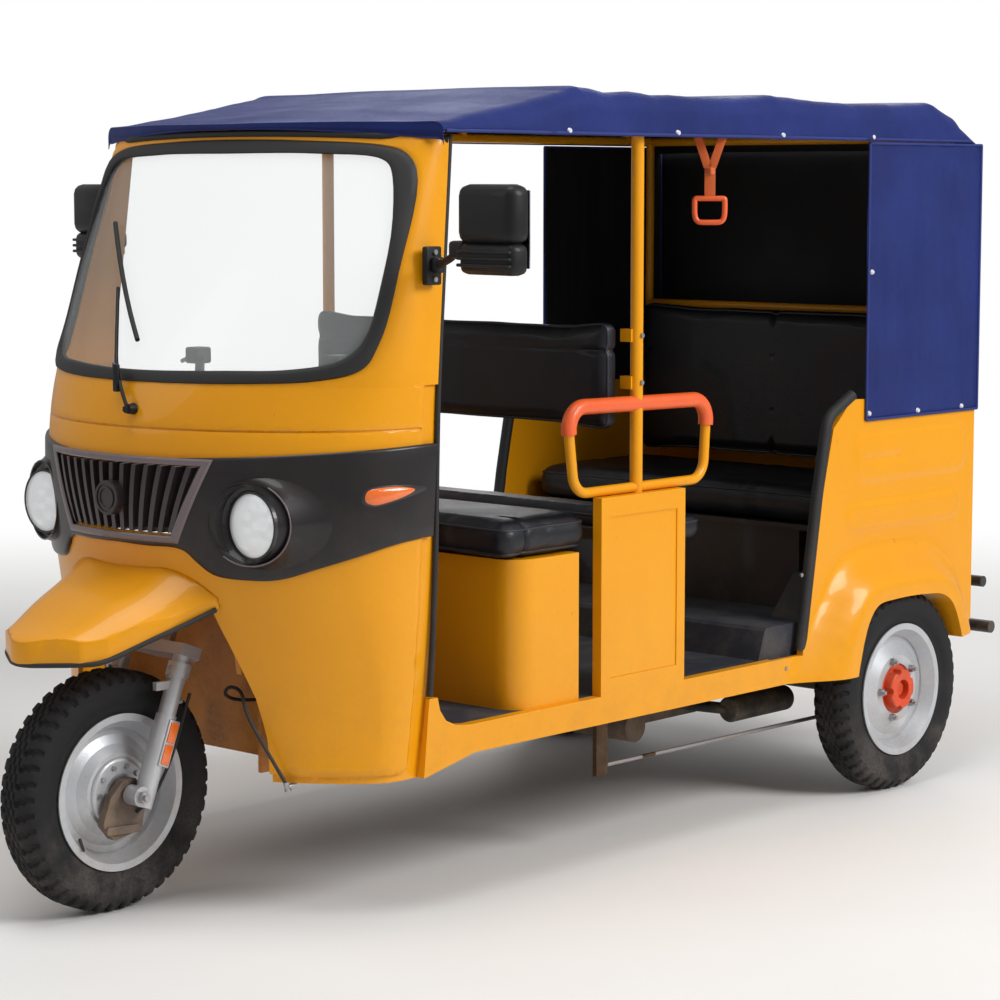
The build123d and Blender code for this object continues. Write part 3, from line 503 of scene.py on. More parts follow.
class Paintbox:
    """All finishes by name, built when first asked for."""

    def __init__(self) -> None:
        """Index the finishes."""
        self.shelf = EffectShelf()
        self.recipes = {f.name: f for f in FINISHES}
        self.made: dict[str, bpy.types.Material] = {}

    def __getitem__(self, name: str) -> bpy.types.Material:
        """Return the named finish as a material."""
        if name not in self.made:
            self.made[name] = self.recipes[name].build(self.shelf)
        return self.made[name]


# ---------------------------------------------------------------- piece making
def curves(name: str, paths: Sequence[Sequence[Vector]], steps: int, closed: bool = False) -> Piece:
    """Make smooth curves whose control points are those of the paths.

    Args:
        name: Object name.
        paths: Points of each path.
        steps: Steps between two points.
        closed: Whether the paths close on themselves.

    Returns:
        The curve object.
    """
    data = bpy.data.curves.new(name, "CURVE")
    data.dimensions, data.resolution_u = "3D", steps
    for points in paths:
        spline = data.splines.new("NURBS")
        spline.points.add(len(points) - 1)
        for knot, p in zip(spline.points, points):
            knot.co = (*p, 1.0)
        spline.order_u, spline.use_endpoint_u, spline.use_cyclic_u = 3, not closed, closed
    return linked(name, data)


class Bench:
    """Turns bmeshes and paths into named pieces riding on their bodies.

    Args:
        paints: Where finishes come from.
    """

    def __init__(self, paints: Paintbox) -> None:
        """Keep the finishes at hand."""
        self.paints = paints

    def piece(
        self, name: str, bm: Mesh, paint: str, body: str = "body", smooth: bool = True,
        replaces: Sequence[str] = (), outward: Vector | None = None,
    ) -> Piece:
        """Publish a bmesh as a piece.

        Args:
            name: Piece name.
            bm: Its shape, freed afterwards.
            paint: Finish name.
            body: Body that it rides on.
            smooth: Whether its faces are smooth shaded.
            replaces: Nodes that it stands for.
            outward: Way that the front of an open sheet faces.

        Returns:
            The new object.
        """
        mesh = bpy.data.meshes.new(name)
        bmesh.ops.recalc_face_normals(bm, faces=bm.faces)
        if outward is not None:
            bm.normal_update()
            if sum((f.normal for f in bm.faces), Vector()).dot(outward) < 0:
                bmesh.ops.reverse_faces(bm, faces=bm.faces)
        bm.to_mesh(mesh)
        bm.free()
        return self.adopt(name, mesh, paint, body, smooth, replaces)

    def adopt(
        self, name: str, mesh: bpy.types.Mesh, paint: str, body: str = "body", smooth: bool = True,
        replaces: Sequence[str] = (),
    ) -> Piece:
        """Publish a ready mesh as a piece, with the same arguments as piece."""
        obj = linked(name, mesh)
        mesh.materials.clear()
        mesh.materials.append(self.paints[paint])
        mesh.polygons.foreach_set("use_smooth", [smooth] * len(mesh.polygons))
        if smooth:
            mesh.set_sharp_from_angle(angle=math.radians(38))
        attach(obj, body)
        if replaces:
            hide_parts(*replaces)
        log.info("piece %s: %d faces", name, len(mesh.polygons))
        return obj

    def cut(self, obj: Piece, tool: Mesh, how: str = "DIFFERENCE") -> None:
        """Cut a closed shape out of a piece, or cut the piece to that shape.

        Args:
            obj: The piece.
            tool: Closed cutter, freed afterwards.
            how: DIFFERENCE or INTERSECT.
        """
        mesh = bpy.data.meshes.new("cutter")
        tool.to_mesh(mesh)
        tool.free()
        cutter = linked("cutter", mesh)
        mod = obj.modifiers.new("Cut", "BOOLEAN")
        mod.operation, mod.solver, mod.object = how, "EXACT", cutter
        result = bpy.data.meshes.new_from_object(obj.evaluated_get(bpy.context.evaluated_depsgraph_get()))
        obj.modifiers.remove(mod)
        old, name = obj.data, obj.data.name
        obj.data = result
        bpy.data.meshes.remove(old)
        result.name = name
        bpy.data.objects.remove(cutter)

    def tube(
        self, name: str, paths: Sequence[Sequence[Vector]], radius: float, paint: str, body: str = "body",
        closed: bool = False,
    ) -> Piece:
        """Publish round tubes along smooth paths as one piece.

        Args:
            name: Piece name.
            paths: Points of each path.
            radius: Tube radius.
            paint: Finish name.
            body: Body that it rides on.
            closed: Whether the paths close on themselves.

        Returns:
            The new object.
        """
        holder = curves(name + "_path", paths, 6, closed)
        data = holder.data
        data.bevel_depth, data.bevel_resolution, data.use_fill_caps = radius, 3, not closed
        mesh = bpy.data.meshes.new_from_object(holder)
        bpy.data.objects.remove(holder)
        mesh.name = name
        return self.adopt(name, mesh, paint, body, True, ())


def slab(bm: Mesh, low: Vector, high: Vector, round_: float = 0.0, cuts: int = 2) -> list:
    """Add a box with rounded edges between two corners.

    Args:
        bm: The mesh to add to.
        low: Lowest corner.
        high: Highest corner.
        round_: Radius of the edges.
        cuts: Steps across each rounded edge.

    Returns:
        The new vertices before rounding.
    """
    size = high - low
    place = Matrix.Translation((low + high) / 2) @ Matrix.Diagonal((*size, 1.0))
    verts = bmesh.ops.create_cube(bm, size=1.0, matrix=place)["verts"]
    if round_:
        edges = {e for v in verts for e in v.link_edges}
        bmesh.ops.bevel(
            bm, geom=list(edges), offset=round_, segments=cuts, profile=0.5, affect="EDGES", material=-1,
        )
    return verts


def placed(bm: Mesh, low: Vector, high: Vector, round_: float, turn: Matrix, cuts: int = 3) -> None:
    """Add a rounded box that is turned and moved to its place.

    Args:
        bm: The mesh to add to.
        low: Lowest corner before the turn.
        high: Highest corner before the turn.
        round_: Radius of the edges.
        turn: Where it goes.
        cuts: Steps across each rounded edge.
    """
    part = bmesh.new()
    slab(part, low, high, round_, cuts)
    bmesh.ops.transform(part, matrix=turn, verts=part.verts)
    mesh = bpy.data.meshes.new("part")
    part.to_mesh(mesh)
    part.free()
    bm.from_mesh(mesh)
    bpy.data.meshes.remove(mesh)


def disc(
    bm: Mesh, centre: Vector, axis: Vector, radius: float, depth: float, steps: int = 20,
    top: float | None = None,
) -> list:
    """Add a short closed cylinder or cone about an axis.

    Args:
        bm: The mesh to add to.
        centre: Middle of the solid.
        axis: Its axis, pointing to the narrow end.
        radius: Radius at the wide end.
        depth: Height along the axis.
        steps: Number of sides.
        top: Radius at the narrow end, equal to radius by default.

    Returns:
        The new vertices.
    """
    turn = Vector((0, 0, 1)).rotation_difference(axis.normalized()).to_matrix().to_4x4()
    return bmesh.ops.create_cone(
        bm, cap_ends=True, segments=steps, radius1=radius, radius2=radius if top is None else top,
        depth=depth, matrix=Matrix.Translation(centre) @ turn,
    )["verts"]


def prism(points: Sequence[Vector], push: Vector) -> Mesh:
    """Return a closed cutter: a flat outline pushed along a way.

    Args:
        points: Corners of the outline.
        push: Which way and how far it reaches.

    Returns:
        The cutter.
    """
    tool = bmesh.new()
    face = tool.faces.new([tool.verts.new(p) for p in points])
    moved = bmesh.ops.extrude_face_region(tool, geom=[face])["geom"]
    bmesh.ops.translate(tool, verts=[g for g in moved if isinstance(g, bmesh.types.BMVert)], vec=push)
    bmesh.ops.recalc_face_normals(tool, faces=tool.faces)
    return tool


def lathe(bm: Mesh, profile: Sequence[Pair], centre: Vector, axis: Vector, steps: int = 64) -> None:
    """Spin a profile of (distance along the axis, radius) into a closed ring.

    Args:
        bm: The mesh to add to.
        profile: Closed outline of the section.
        centre: Point on the axis.
        axis: Spin axis.
        steps: Number of steps round.
    """
    axis = axis.normalized()
    side = axis.orthogonal().normalized()
    verts = [bm.verts.new(centre + axis * a + side * r) for a, r in profile]
    edges = [bm.edges.new((v, verts[(i + 1) % len(verts)])) for i, v in enumerate(verts)]
    bmesh.ops.spin(
        bm, geom=verts + edges, cent=centre, axis=axis, angle=math.tau, steps=steps, use_merge=True,
    )


# --------------------------------------------------------------------- studio
@dataclass(frozen=True)
class Camera:
    """Still camera on a stand beside the left front corner."""

    azimuth: float = 42.257
    pitch: float = 6.46
    place: Point = (4.6448, -3.8377 + FRONT_AXLE_Y, 1.5742)
    lens: float = 100.32

    def build(self) -> None:
        """Make the camera and set it as the scene's own."""
        data = bpy.data.cameras.new("Camera")
        data.lens, data.sensor_width, data.clip_end = self.lens, 36.0, 200.0
        obj = linked("Camera", data)
        az, dip = math.radians(self.azimuth), math.radians(self.pitch)
        ahead = Vector((-math.sin(az), math.cos(az), 0.0))
        look = ahead * math.cos(dip) - Vector((0, 0, math.sin(dip)))
        right = Vector((math.cos(az), math.sin(az), 0.0))
        turn = Matrix((right, right.cross(look), -look)).transposed().to_4x4()
        obj.matrix_world = Matrix.Translation(Vector(self.place)) @ turn
        bpy.context.scene.camera = obj


@dataclass(frozen=True)
class Lamp:
    """One soft box: place, what it faces, its size and its power."""

    place: Point
    aim: Point
    size: float
    watts: float

    def build(self, name: str) -> None:
        """Hang the soft box.

        Args:
            name: Name of the light.
        """
        data = bpy.data.lights.new(name, "AREA")
        data.shape, data.size, data.energy = "DISK", self.size, self.watts
        obj = linked(name, data)
        obj.location = self.place
        obj.rotation_euler = (Vector(self.aim) - Vector(self.place)).to_track_quat("-Z", "Y").to_euler()


@dataclass(frozen=True)
class Studio:
    """Pale floor, soft boxes and a plain surround."""

    lamps: tuple[Lamp, ...] = (
        Lamp((6.5, 1.5, 5.0), (0.0, 0.0, 0.9), 3.5, 430.0),
        Lamp((-3.5, -6.0, 4.5), (0.0, -0.5, 0.9), 4.0, 45.0),
        Lamp((0.5, -1.5, 6.5), (0.0, 0.0, 0.8), 4.0, 160.0),
        Lamp((-4.0, 5.5, 4.0), (0.0, 0.5, 1.0), 4.0, 90.0),
    )
    ambient: float = 0.30
    # distance from the middle where the floor starts and ends its fade to white
    fade: Pair = (3.0, 6.5)

    def build(self) -> None:
        """Set the world, the floor and the lights."""
        scene = bpy.context.scene
        scene.view_settings.view_transform = "Standard"
        world = bpy.data.worlds.new("Studio")
        scene.world = world
        world.use_nodes = True
        t = Tree(world.node_tree)
        rays = t.put("LightPath")
        seen = t.math("MAXIMUM", rays.outputs["Is Camera Ray"], rays.outputs["Is Transmission Ray"])
        seen = t.math("MAXIMUM", seen, t.times(rays.outputs["Is Glossy Ray"], 0.25))
        back = world.node_tree.nodes["Background"]
        back.inputs["Color"].default_value = (1.0, 1.0, 1.0, 1.0)
        t.tree.links.new(t.ramp(seen, 0.0, 1.0, self.ambient, 1.0), back.inputs["Strength"])
        self._floor()
        for i, lamp in enumerate(self.lamps):
            lamp.build(f"Softbox{i + 1}")

    def _floor(self) -> None:
        """Lay the floor."""
        bm = bmesh.new()
        bmesh.ops.create_grid(bm, x_segments=1, y_segments=1, size=40.0)
        mesh = bpy.data.meshes.new("Floor")
        bm.to_mesh(mesh)
        bm.free()
        floor = linked("Floor", mesh)
        mat = bpy.data.materials.new("studio_floor")
        mat.use_nodes = True
        t = Tree(mat.node_tree)
        bsdf = mat.node_tree.nodes["Principled BSDF"]
        spot = t.put("TexCoord").outputs["Object"]
        cloud = t.clouds(spot, 2.0, 3.0)
        t.tree.links.new(t.mix(cloud, tint("E9E8E6"), tint("EFEEEC")), bsdf.inputs["Base Color"])
        bsdf.inputs["Roughness"].default_value = 0.7
        rays = t.put("LightPath")
        seen = t.math("MAXIMUM", rays.outputs["Is Camera Ray"], rays.outputs["Is Transmission Ray"])
        far = t.put("VectorMath", {0: spot}, operation="LENGTH").outputs["Value"]
        veil = t.times(seen, t.ramp(far, *self.fade))
        bright = t.put("Emission", {"Color": (1.0, 1.0, 1.0, 1.0), "Strength": 1.0})
        blend = t.put("MixShader", {0: veil, 1: bsdf.outputs[0], 2: bright.outputs[0]})
        out = mat.node_tree.nodes["Material Output"]
        t.tree.links.new(blend.outputs[0], out.inputs["Surface"])
        mesh.materials.append(mat)
        floor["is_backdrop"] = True


# -------------------------------------------------------------------- padding
@dataclass
class Pad:
    """A stuffed seat piece that swells from a slightly smaller block."""

    name: str
    node: str
    round_: float = 0.03
    inset: float = 0.006
    cap: float = 0.013
    # share of the inward pull that is kept
    shrink: float = 0.25
    pressure: float = 4.0
    voxel: float = 0.0105
    channels: tuple[tuple[int, float], ...] = ()
    welts: tuple[tuple[int, float], ...] = ()
    fill: float = 0.8

    def build(self, bench: Bench) -> None:
        """Make the pad, its sewn channels and its welts.

        Args:
            bench: Where pieces are made.
        """
        low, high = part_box(self.node)
        edge = Vector((self.inset,) * 3)
        bm = bmesh.new()
        slab(bm, Vector(low) + edge, Vector(high) - edge, self.round_, 4)
        mesh = self._remeshed(bm)
        before = [v.co.copy() for v in mesh.vertices]
        middle = (Vector(low) + Vector(high)) / 2
        self._swell(mesh)
        bm = bmesh.new()
        bm.from_mesh(mesh)
        bm.verts.ensure_lookup_table()
        for v, rest in zip(bm.verts, before):
            shift = v.co - rest
            if shift.dot(rest - middle) < 0:
                shift *= self.shrink
                v.co = rest + shift
            if shift.length > self.cap:
                v.co = rest + shift * (self.cap / shift.length)
        bmesh.ops.smooth_vert(
            bm, verts=bm.verts, factor=0.5, use_axis_x=True, use_axis_y=True, use_axis_z=True,
        )
        bmesh.ops.subdivide_edges(bm, edges=bm.edges, cuts=1, use_grid_fill=True, smooth=0.6)
        bm.normal_update()
        for v in bm.verts:
            fold = noise.noise(Vector((v.co.x * 9, v.co.y * 14, v.co.z * 11))) * 0.0022
            for axis, value in self.channels:
                fold -= 0.006 * math.exp(-(((v.co[axis] - value) / 0.006) ** 2))
            v.co += v.normal * fold
        for v in bm.verts:
            v.co = Vector([min(max(c, a + 0.0005), b - 0.0005) for c, a, b in zip(v.co, low, high)])
        loops = [loop for cut in self.welts for loop in self._outline(bm, *cut)]
        obj = bench.piece(self.name, bm, "seat_vinyl", replaces=[self.node])
        if loops:
            bench.tube(self.name + "_welt", loops, 0.0036, "seat_welt", closed=True)

    def _remeshed(self, bm: Mesh) -> bpy.types.Mesh:
        """Return the block as an even skin of small squares."""
        raw = bpy.data.meshes.new(self.name + "_raw")
        bm.to_mesh(raw)
        bm.free()
        obj = linked(self.name + "_raw", raw)
        mod = obj.modifiers.new("Even", "REMESH")
        mod.mode, mod.voxel_size = "VOXEL", self.voxel
        mesh = bpy.data.meshes.new_from_object(obj.evaluated_get(bpy.context.evaluated_depsgraph_get()))
        bpy.data.objects.remove(obj)
        return mesh

    def _swell(self, mesh: bpy.types.Mesh) -> None:
        """Let the skin swell as cloth under pressure, in place."""
        obj = bpy.data.objects.new(self.name + "_cloth", mesh)
        scene = bpy.context.scene
        scene.collection.objects.link(obj)
        cloth = obj.modifiers.new("Swell", "CLOTH")
        cloth.settings.use_pressure, cloth.settings.uniform_pressure_force = True, self.pressure
        cloth.settings.effector_weights.gravity = 0.0
        cloth.settings.quality, cloth.settings.tension_stiffness = 4, 18.0
        cloth.collision_settings.use_collision = False
        cloth.point_cache.frame_start, cloth.point_cache.frame_end = 1, 16
        for frame in range(1, 17):
            scene.frame_set(frame)
        swollen = obj.evaluated_get(bpy.context.evaluated_depsgraph_get()).data
        for v, w in zip(mesh.vertices, swollen.vertices):
            v.co = w.co
        bpy.data.objects.remove(obj)
        scene.frame_set(1)

    @staticmethod
    def _outline(bm: Mesh, axis: int, value: float) -> list[list[Vector]]:
        """Cut the pad by a level plane and return its outline, thinned and ordered."""
        cut = bm.copy()
        normal = Vector([1.0 if i == axis else 0.0 for i in range(3)])
        bmesh.ops.bisect_plane(
            cut, geom=cut.verts[:] + cut.edges[:] + cut.faces[:], plane_co=normal * value, plane_no=normal,
            clear_inner=True, clear_outer=True,
        )
        cut.verts.ensure_lookup_table()
        if not cut.verts:
            cut.free()
            return []
        centre = sum((v.co for v in cut.verts), Vector()) / len(cut.verts)
        i, j = [k for k in range(3) if k != axis]
        spots = sorted(
            (v.co.copy() for v in cut.verts), key=lambda p: math.atan2(p[j] - centre[j], p[i] - centre[i]),
        )
        cut.free()
        return [spots[::4]]


@dataclass
class Seats:
    """The five vinyl pads with their welts and sewn channels."""

    pads: tuple[Pad, ...] = (
        Pad(
            "driver_seat_pad", "driver_cushion", round_=0.034, channels=((1, 0.79 + FRONT_AXLE_Y),),
            welts=((2, 0.806), (2, 0.752)), cap=0.016,
        ),
        Pad(
            "driver_back_pad", "driver_backrest", round_=0.022, welts=((1, 1.118 + FRONT_AXLE_Y),),
            channels=((2, 1.19),), cap=0.010,
        ),
        Pad("jump_seat_pad", "jump_seat", round_=0.028, welts=((2, 0.765),), cap=0.012),
        Pad(
            "rear_bench_pad", "rear_bench", round_=0.034, channels=((0, 0.0), (1, 2.2 + FRONT_AXLE_Y)),
            welts=((2, 0.776),), cap=0.016,
        ),
        Pad(
            "rear_back_pad", "rear_backrest", round_=0.028, channels=((0, 0.0), (2, 0.95), (2, 1.1)),
            welts=((1, 2.417 + FRONT_AXLE_Y),), cap=0.013,
        ),
    )

    def build(self, bench: Bench) -> None:
        """Make every pad."""
        for pad in self.pads:
            pad.build(bench)


# --------------------------------------------------------------------- canvas
@dataclass
class Canvas:
    """Roof sheet over three bows and the curtains that hang from it."""

    half: float = 0.5475
    valance: float = 1.6835
    # station, height of the roof line
    line: Pairs = (
        (0.36, 1.704), (0.93, 1.794), (1.0, 1.7955), (1.69, 1.793), (2.38, 1.790), (2.478, 1.757),
        (2.575, 1.668),
    )
    bows: tuple[float, ...] = (0.95, 1.69, 2.385)
    shoulder: float = 0.052
    # front flap: fall at the middle, extra fall at the corners, share of the sheet that hangs
    flap: float = 0.006
    hem_fall: float = 0.026
    flap_run: float = 0.014
    # curve of the front hem: its station at the corners and its lead at the middle
    brow: float = 0.492
    brow_lead: float = 0.122
    curtain_x: float = 0.5478
    curtain_y: Pair = (2.066, 2.5835)
    curtain_z: Pair = (0.974, 1.678)
    studs: tuple[float, ...] = (0.90, 1.287, 1.696, 2.079)
    # stations and heights of the curtains' studs
    curtain_studs: Pairs = ((2.082, 1.352), (2.078, 0.99), (2.507, 0.985), (2.3, 0.985))

    def top(self, y: float) -> float:
        """Height of the roof along its middle at a station."""
        for (y0, z0), (y1, z1) in zip(self.line, self.line[1:]):
            if y <= y1:
                break
        z = z0 + (z1 - z0) * (y - y0) / (y1 - y0)
        for a, b in zip(self.bows, self.bows[1:]):
            if a < y < b:
                z -= 0.010 * math.sin(math.pi * (y - a) / (b - a))
        return z

    def _section(self, y: float, v: float) -> Pair:
        """Place of a point across the roof: v runs from -1 at one hem to 1 at the other."""
        top = self.top(y)
        low = min(self.valance, top - 0.004)
        drop = top - low
        r = min(self.shoulder, drop * 0.92)
        flat, arc = self.half - r, math.pi / 2 * r
        run = abs(v) * (flat + arc + drop - r)
        side = 1.0 if v >= 0 else -1.0
        if run < flat:
            return side * run, top - 0.004 * (run / flat) ** 2
        if run < flat + arc:
            a = (run - flat) / r
            drop = 0.004 + r * (1 - math.cos(a)) - 0.004 * a / (math.pi / 2)
            return side * (flat + r * math.sin(a)), top - drop
        return side * self.half, top - r - (run - flat - arc)

    def _roof(self, bench: Bench) -> None:
        """Lay the roof sheet."""
        bm = bmesh.new()
        bm.loops.layers.uv.new("cloth")
        bmesh.ops.create_grid(bm, x_segments=150, y_segments=120, size=1.0, calc_uvs=True)
        first, last, count = self.line[0][0], self.line[-1][0], 400
        rows = [first + (last - first) * i / count for i in range(count + 1)]
        run = [0.0]
        for a, b in zip(rows, rows[1:]):
            run.append(run[-1] + math.hypot(b - a, self.top(b) - self.top(a)))
        for v in bm.verts:
            u, w = (v.co.x + 1) / 2, v.co.y
            want = u * run[-1]
            k = next(i for i, r in enumerate(run) if r >= want - 1e-9)
            y = rows[k]
            x, z = self._section(y, w)
            front = self.brow - self.brow_lead * (1 - (x / self.half) ** 2)
            y += (front - self.line[0][0]) * max(0.0, 1 - max(0.0, u - self.flap_run) * 3.2)
            if u < self.flap_run:
                y = front
            z += 0.006 * max(0.0, 1 - u * 6) * (abs(x) / self.half) ** 4
            drop = self.flap + self.hem_fall * (x / self.half) ** 2
            z -= drop * max(0.0, 1 - u / self.flap_run)
            edge = max(0.0, (abs(w) - 0.93) / 0.07)
            wave = noise.noise(Vector((y * 7.0, x * 3.0, 1.7))) * 0.0030
            wave += noise.noise(Vector((y * 31.0, z * 14.0, 5.2))) * 0.0012
            pull = math.sin(math.pi * (y - 0.981) / 0.305) ** 2
            x += math.copysign((0.004 * pull + noise.noise(Vector((y * 24, 3.1, x))) * 0.004) * edge, x)
            ridge = sum(math.exp(-(((y - b) / 0.016) ** 2)) for b in self.bows) * 0.0025
            slack = 0.004 * math.sin(34 * (y + 0.35 * abs(x))) * math.exp(-((y - 1.12) / 0.16) ** 2)
            slack *= abs(x) / self.half
            z += (wave + ridge + slack) * (1 - edge)
            v.co = at(x, y, z)
        bm.normal_update()
        area = sum(f.calc_area() for f in bm.faces)
        obj = bench.piece(
            "roof_sheet", bm, "canvas_blue", replaces=["roof_canopy"], outward=Vector((0, 0, 1)),
        )
        self._line(obj, bench, 0.0022)
        hems = []
        for side in (-1, 1):
            spots = [0.5 + 0.052 * i for i in range(40)]
            x = side * (self.half + 0.001)
            hems.append([at(x, y, min(self.valance, self.top(y) - 0.004) + 0.005) for y in spots])
        front = []
        for i in range(19):
            x = -0.54 + 0.06 * i
            share = (x / self.half) ** 2
            z = self.line[0][1] + 0.0005 - self.flap - self.hem_fall * share
            front.append(at(x, self.brow + 0.004 - self.brow_lead * (1 - share), z))
        hem = bench.tube("roof_hem", [*hems, front], 0.0042, "canvas_hem")
        run[-1]
        area / run[-1]

    @staticmethod
    def _line(obj: Piece, bench: Bench, thick: float) -> None:
        """Give a sheet its thickness, with its inner side painted near black as shade."""
        obj.data.materials.append(bench.paints["canvas_lining"])
        skin = obj.modifiers.new("Cloth", "SOLIDIFY")
        skin.thickness, skin.offset, skin.material_offset = thick, -1.0, 1

    def _curtain(self, bench: Bench, name: str, low: Vector, high: Vector, across: int, out: float) -> None:
        """Hang one flat curtain with soft upright folds.

        Args:
            bench: Where pieces are made.
            name: Piece name.
            low: Lower front or left corner of the cloth.
            high: Upper rear or right corner.
            across: Axis that the curtain runs along.
            out: Direction its folds bulge in.
        """
        bm = bmesh.new()
        bm.loops.layers.uv.new("cloth")
        bmesh.ops.create_grid(bm, x_segments=70, y_segments=70, size=1.0, calc_uvs=True)
        normal = 1 - across
        for v in bm.verts:
            s, t = (v.co.x + 1) / 2, (v.co.y + 1) / 2
            p = Vector((0, 0, low.z + (high.z - low.z) * t))
            p[across] = low[across] + (high[across] - low[across]) * s
            fold = 0.0035 * noise.noise(Vector((s * 5.0, t * 1.6, low.x * 7 + 2)))
            fold += 0.0016 * noise.noise(Vector((s * 22.0, t * 4.0, low.x)))
            fold += 0.0022 * math.sin(s * 9.0 + t * 1.4) * (1 - t)
            edge = min(s, 1 - s, t * 1.2) * 12
            p[normal] = low[normal] + out * (fold * min(edge, 1.0) + 0.0018)
            if across == 1:
                p[1] += 0.006 * math.sin(t * 7.0) * (1 - s)
            v.co = p
        area = sum(f.calc_area() for f in bm.faces)
        face = Vector((0, 0, 0))
        face[normal] = out
        obj = bench.piece(name, bm, "canvas_blue", replaces=["canvas_curtains"], outward=face)
        self._line(obj, bench, 0.002)
        corners = [(0, 0), (1, 0), (1, 1), (0, 1)]
        path = []
        for a, b in corners:
            p = Vector((0, 0, low.z + (high.z - low.z) * b))
            p[across] = low[across] + (high[across] - low[across]) * a
            p[normal] = low[normal] + out * 0.0022
            path.append(p)
        sides = [
            [path[k].lerp(path[(k + 1) % 4], f) for f in (0.0, 0.08, 0.35, 0.65, 0.92, 1.0)]
            for k in range(4)
        ]
        hem = bench.tube(name + "_hem", sides, 0.0038, "canvas_hem")
        abs(high[across] - low[across])

    def build(self, bench: Bench) -> None:
        """Make the roof, the curtains and their studs."""
        self._roof(bench)
        low, high = self.curtain_z
        ahead, behind = self.curtain_y
        for side, word in ((1, "left"), (-1, "right")):
            x = side * self.curtain_x
            self._curtain(bench, f"{word}_curtain", at(x, ahead, low), at(x, behind, high), 1, float(side))
        x = self.curtain_x + 0.0007
        self._curtain(bench, "rear_curtain", at(-x, behind, low), at(x, behind, high - 0.004), 0, 1.0)
        bm = bmesh.new()
        for side in (-1, 1):
            for y in self.studs:
                disc(
                    bm, at(side * (self.half + 0.003), y, self.valance + 0.010), Vector((side, 0, 0)), 0.0075,
                    0.006, 14, 0.005,
                )
            for y, z in self.curtain_studs:
                disc(bm, at(side * 0.5515, y, z), Vector((side, 0, 0)), 0.0075, 0.005, 14, 0.005)
        bench.piece("canvas_studs", bm, "stud_white")


# --------------------------------------------------------------------- wheels
@dataclass
class Tyre:
    """Cross-ply tyre with shoulder blocks and a zigzag centre rib."""

    name: str
    node: str
    body: str
    centre: Vector
    radius: float = 0.265
    half: float = 0.056
    pitches: int = 46
    groove: float = 0.0075

    def _groove(self, a: float, turn: float) -> float:
        """Depth of the groove at a place across and round the tread."""
        lean = turn * self.pitches / math.tau
        if abs(a) > 0.013:
            phase = (lean + (0.5 if a > 0 else 0.0) + (abs(a) - 0.013) * 9.0) % 1.0
            return self.groove if phase < 0.36 else 0.0
        zig = 0.0042 * (1 if (lean % 1.0) < 0.5 else -1)
        return self.groove * 0.8 if 0.0075 < abs(a - zig) < 0.0118 else 0.0

    def build(self, bench: Bench) -> None:
        """Make the tyre.

        Args:
            bench: Where pieces are made.
        """
        bm = bmesh.new()
        steps = self.pitches * 8
        crown = [(-0.050 + 0.100 * i / 24) for i in range(25)]
        tread = [(a, self.radius - 0.0005 - (0.016 * max(0.0, (abs(a) - 0.020) / 0.030) ** 2)) for a in crown]
        wall = [
            (0.0540, 0.240), (0.0556, 0.226), (0.0562, 0.219), (0.0556, 0.212), (0.0535, 0.198),
            (0.0515, 0.196), (0.0495, 0.186), (0.0470, 0.180), (0.0445, 0.172), (0.0420, 0.164),
        ]
        profile = [(-a, r) for a, r in reversed(wall)] + tread + wall
        lathe(bm, profile, self.centre, Vector((1, 0, 0)), steps)
        for v in bm.verts:
            d = v.co - self.centre
            r = math.hypot(d.y, d.z)
            if r > 0.2435 and abs(d.x) < 0.0505:
                cut = self._groove(d.x, math.atan2(d.z, d.y) + math.pi)
                k = (r - cut) / r
                v.co = self.centre + Vector((d.x, d.y * k, d.z * k))
        bench.piece(self.name, bm, "tyre_rubber", self.body, replaces=[self.node])


@dataclass
class Wheels:
    """Tyres, nuts, hub fittings of the three wheels and the front wheel's valve."""

    def build(self, bench: Bench) -> None:
        """Make all wheel pieces."""
        front = at(0, 0, AXLE_Z)
        Tyre("front_tread", "front_tyre", "front_wheel", front).build(bench)
        bm = bmesh.new()
        for side in (-1, 1):
            for i in range(10):
                a = math.tau * i / 10
                disc(
                    bm, front + Vector((side * 0.047, 0.058 * math.cos(a), 0.058 * math.sin(a))),
                    Vector((side, 0, 0)), 0.006, 0.006, 6,
                )
            lathe(
                bm,
                [(side * 0.045, 0.030), (side * 0.049, 0.030), (side * 0.049, 0.038), (side * 0.045, 0.040)],
                front, Vector((1, 0, 0)), 40,
            )
        bench.piece("front_hub_bolts", bm, "zinc_steel", "front_wheel", smooth=False)
        for side, word in ((1, "left"), (-1, "right")):
            centre = at(side * 0.545, WHEELBASE, AXLE_Z)
            body = f"rear_wheel_{word}"
            Tyre(f"rear_tread_{word}", f"rear_tyre_{word}", body, centre).build(bench)
            bm = bmesh.new()
            for i in range(5):
                a = math.tau * (i + 0.5) / 5
                spot = centre + Vector((side * 0.040, 0.077 * math.cos(a), 0.077 * math.sin(a)))
                disc(bm, spot, Vector((side, 0, 0)), 0.0105, 0.014, 6, 0.0095)
                disc(bm, spot + Vector((side * 0.009, 0, 0)), Vector((side, 0, 0)), 0.005, 0.012, 10)
            bench.piece(f"rear_nuts_{word}", bm, "zinc_steel", body, smooth=False)
        bm = bmesh.new()
        disc(bm, at(0.041, -0.105, 0.165), Vector((1, -0.5, -0.5)), 0.004, 0.04, 10, 0.003)
        bench.piece("front_valve", bm, "black_rubber", "front_wheel")


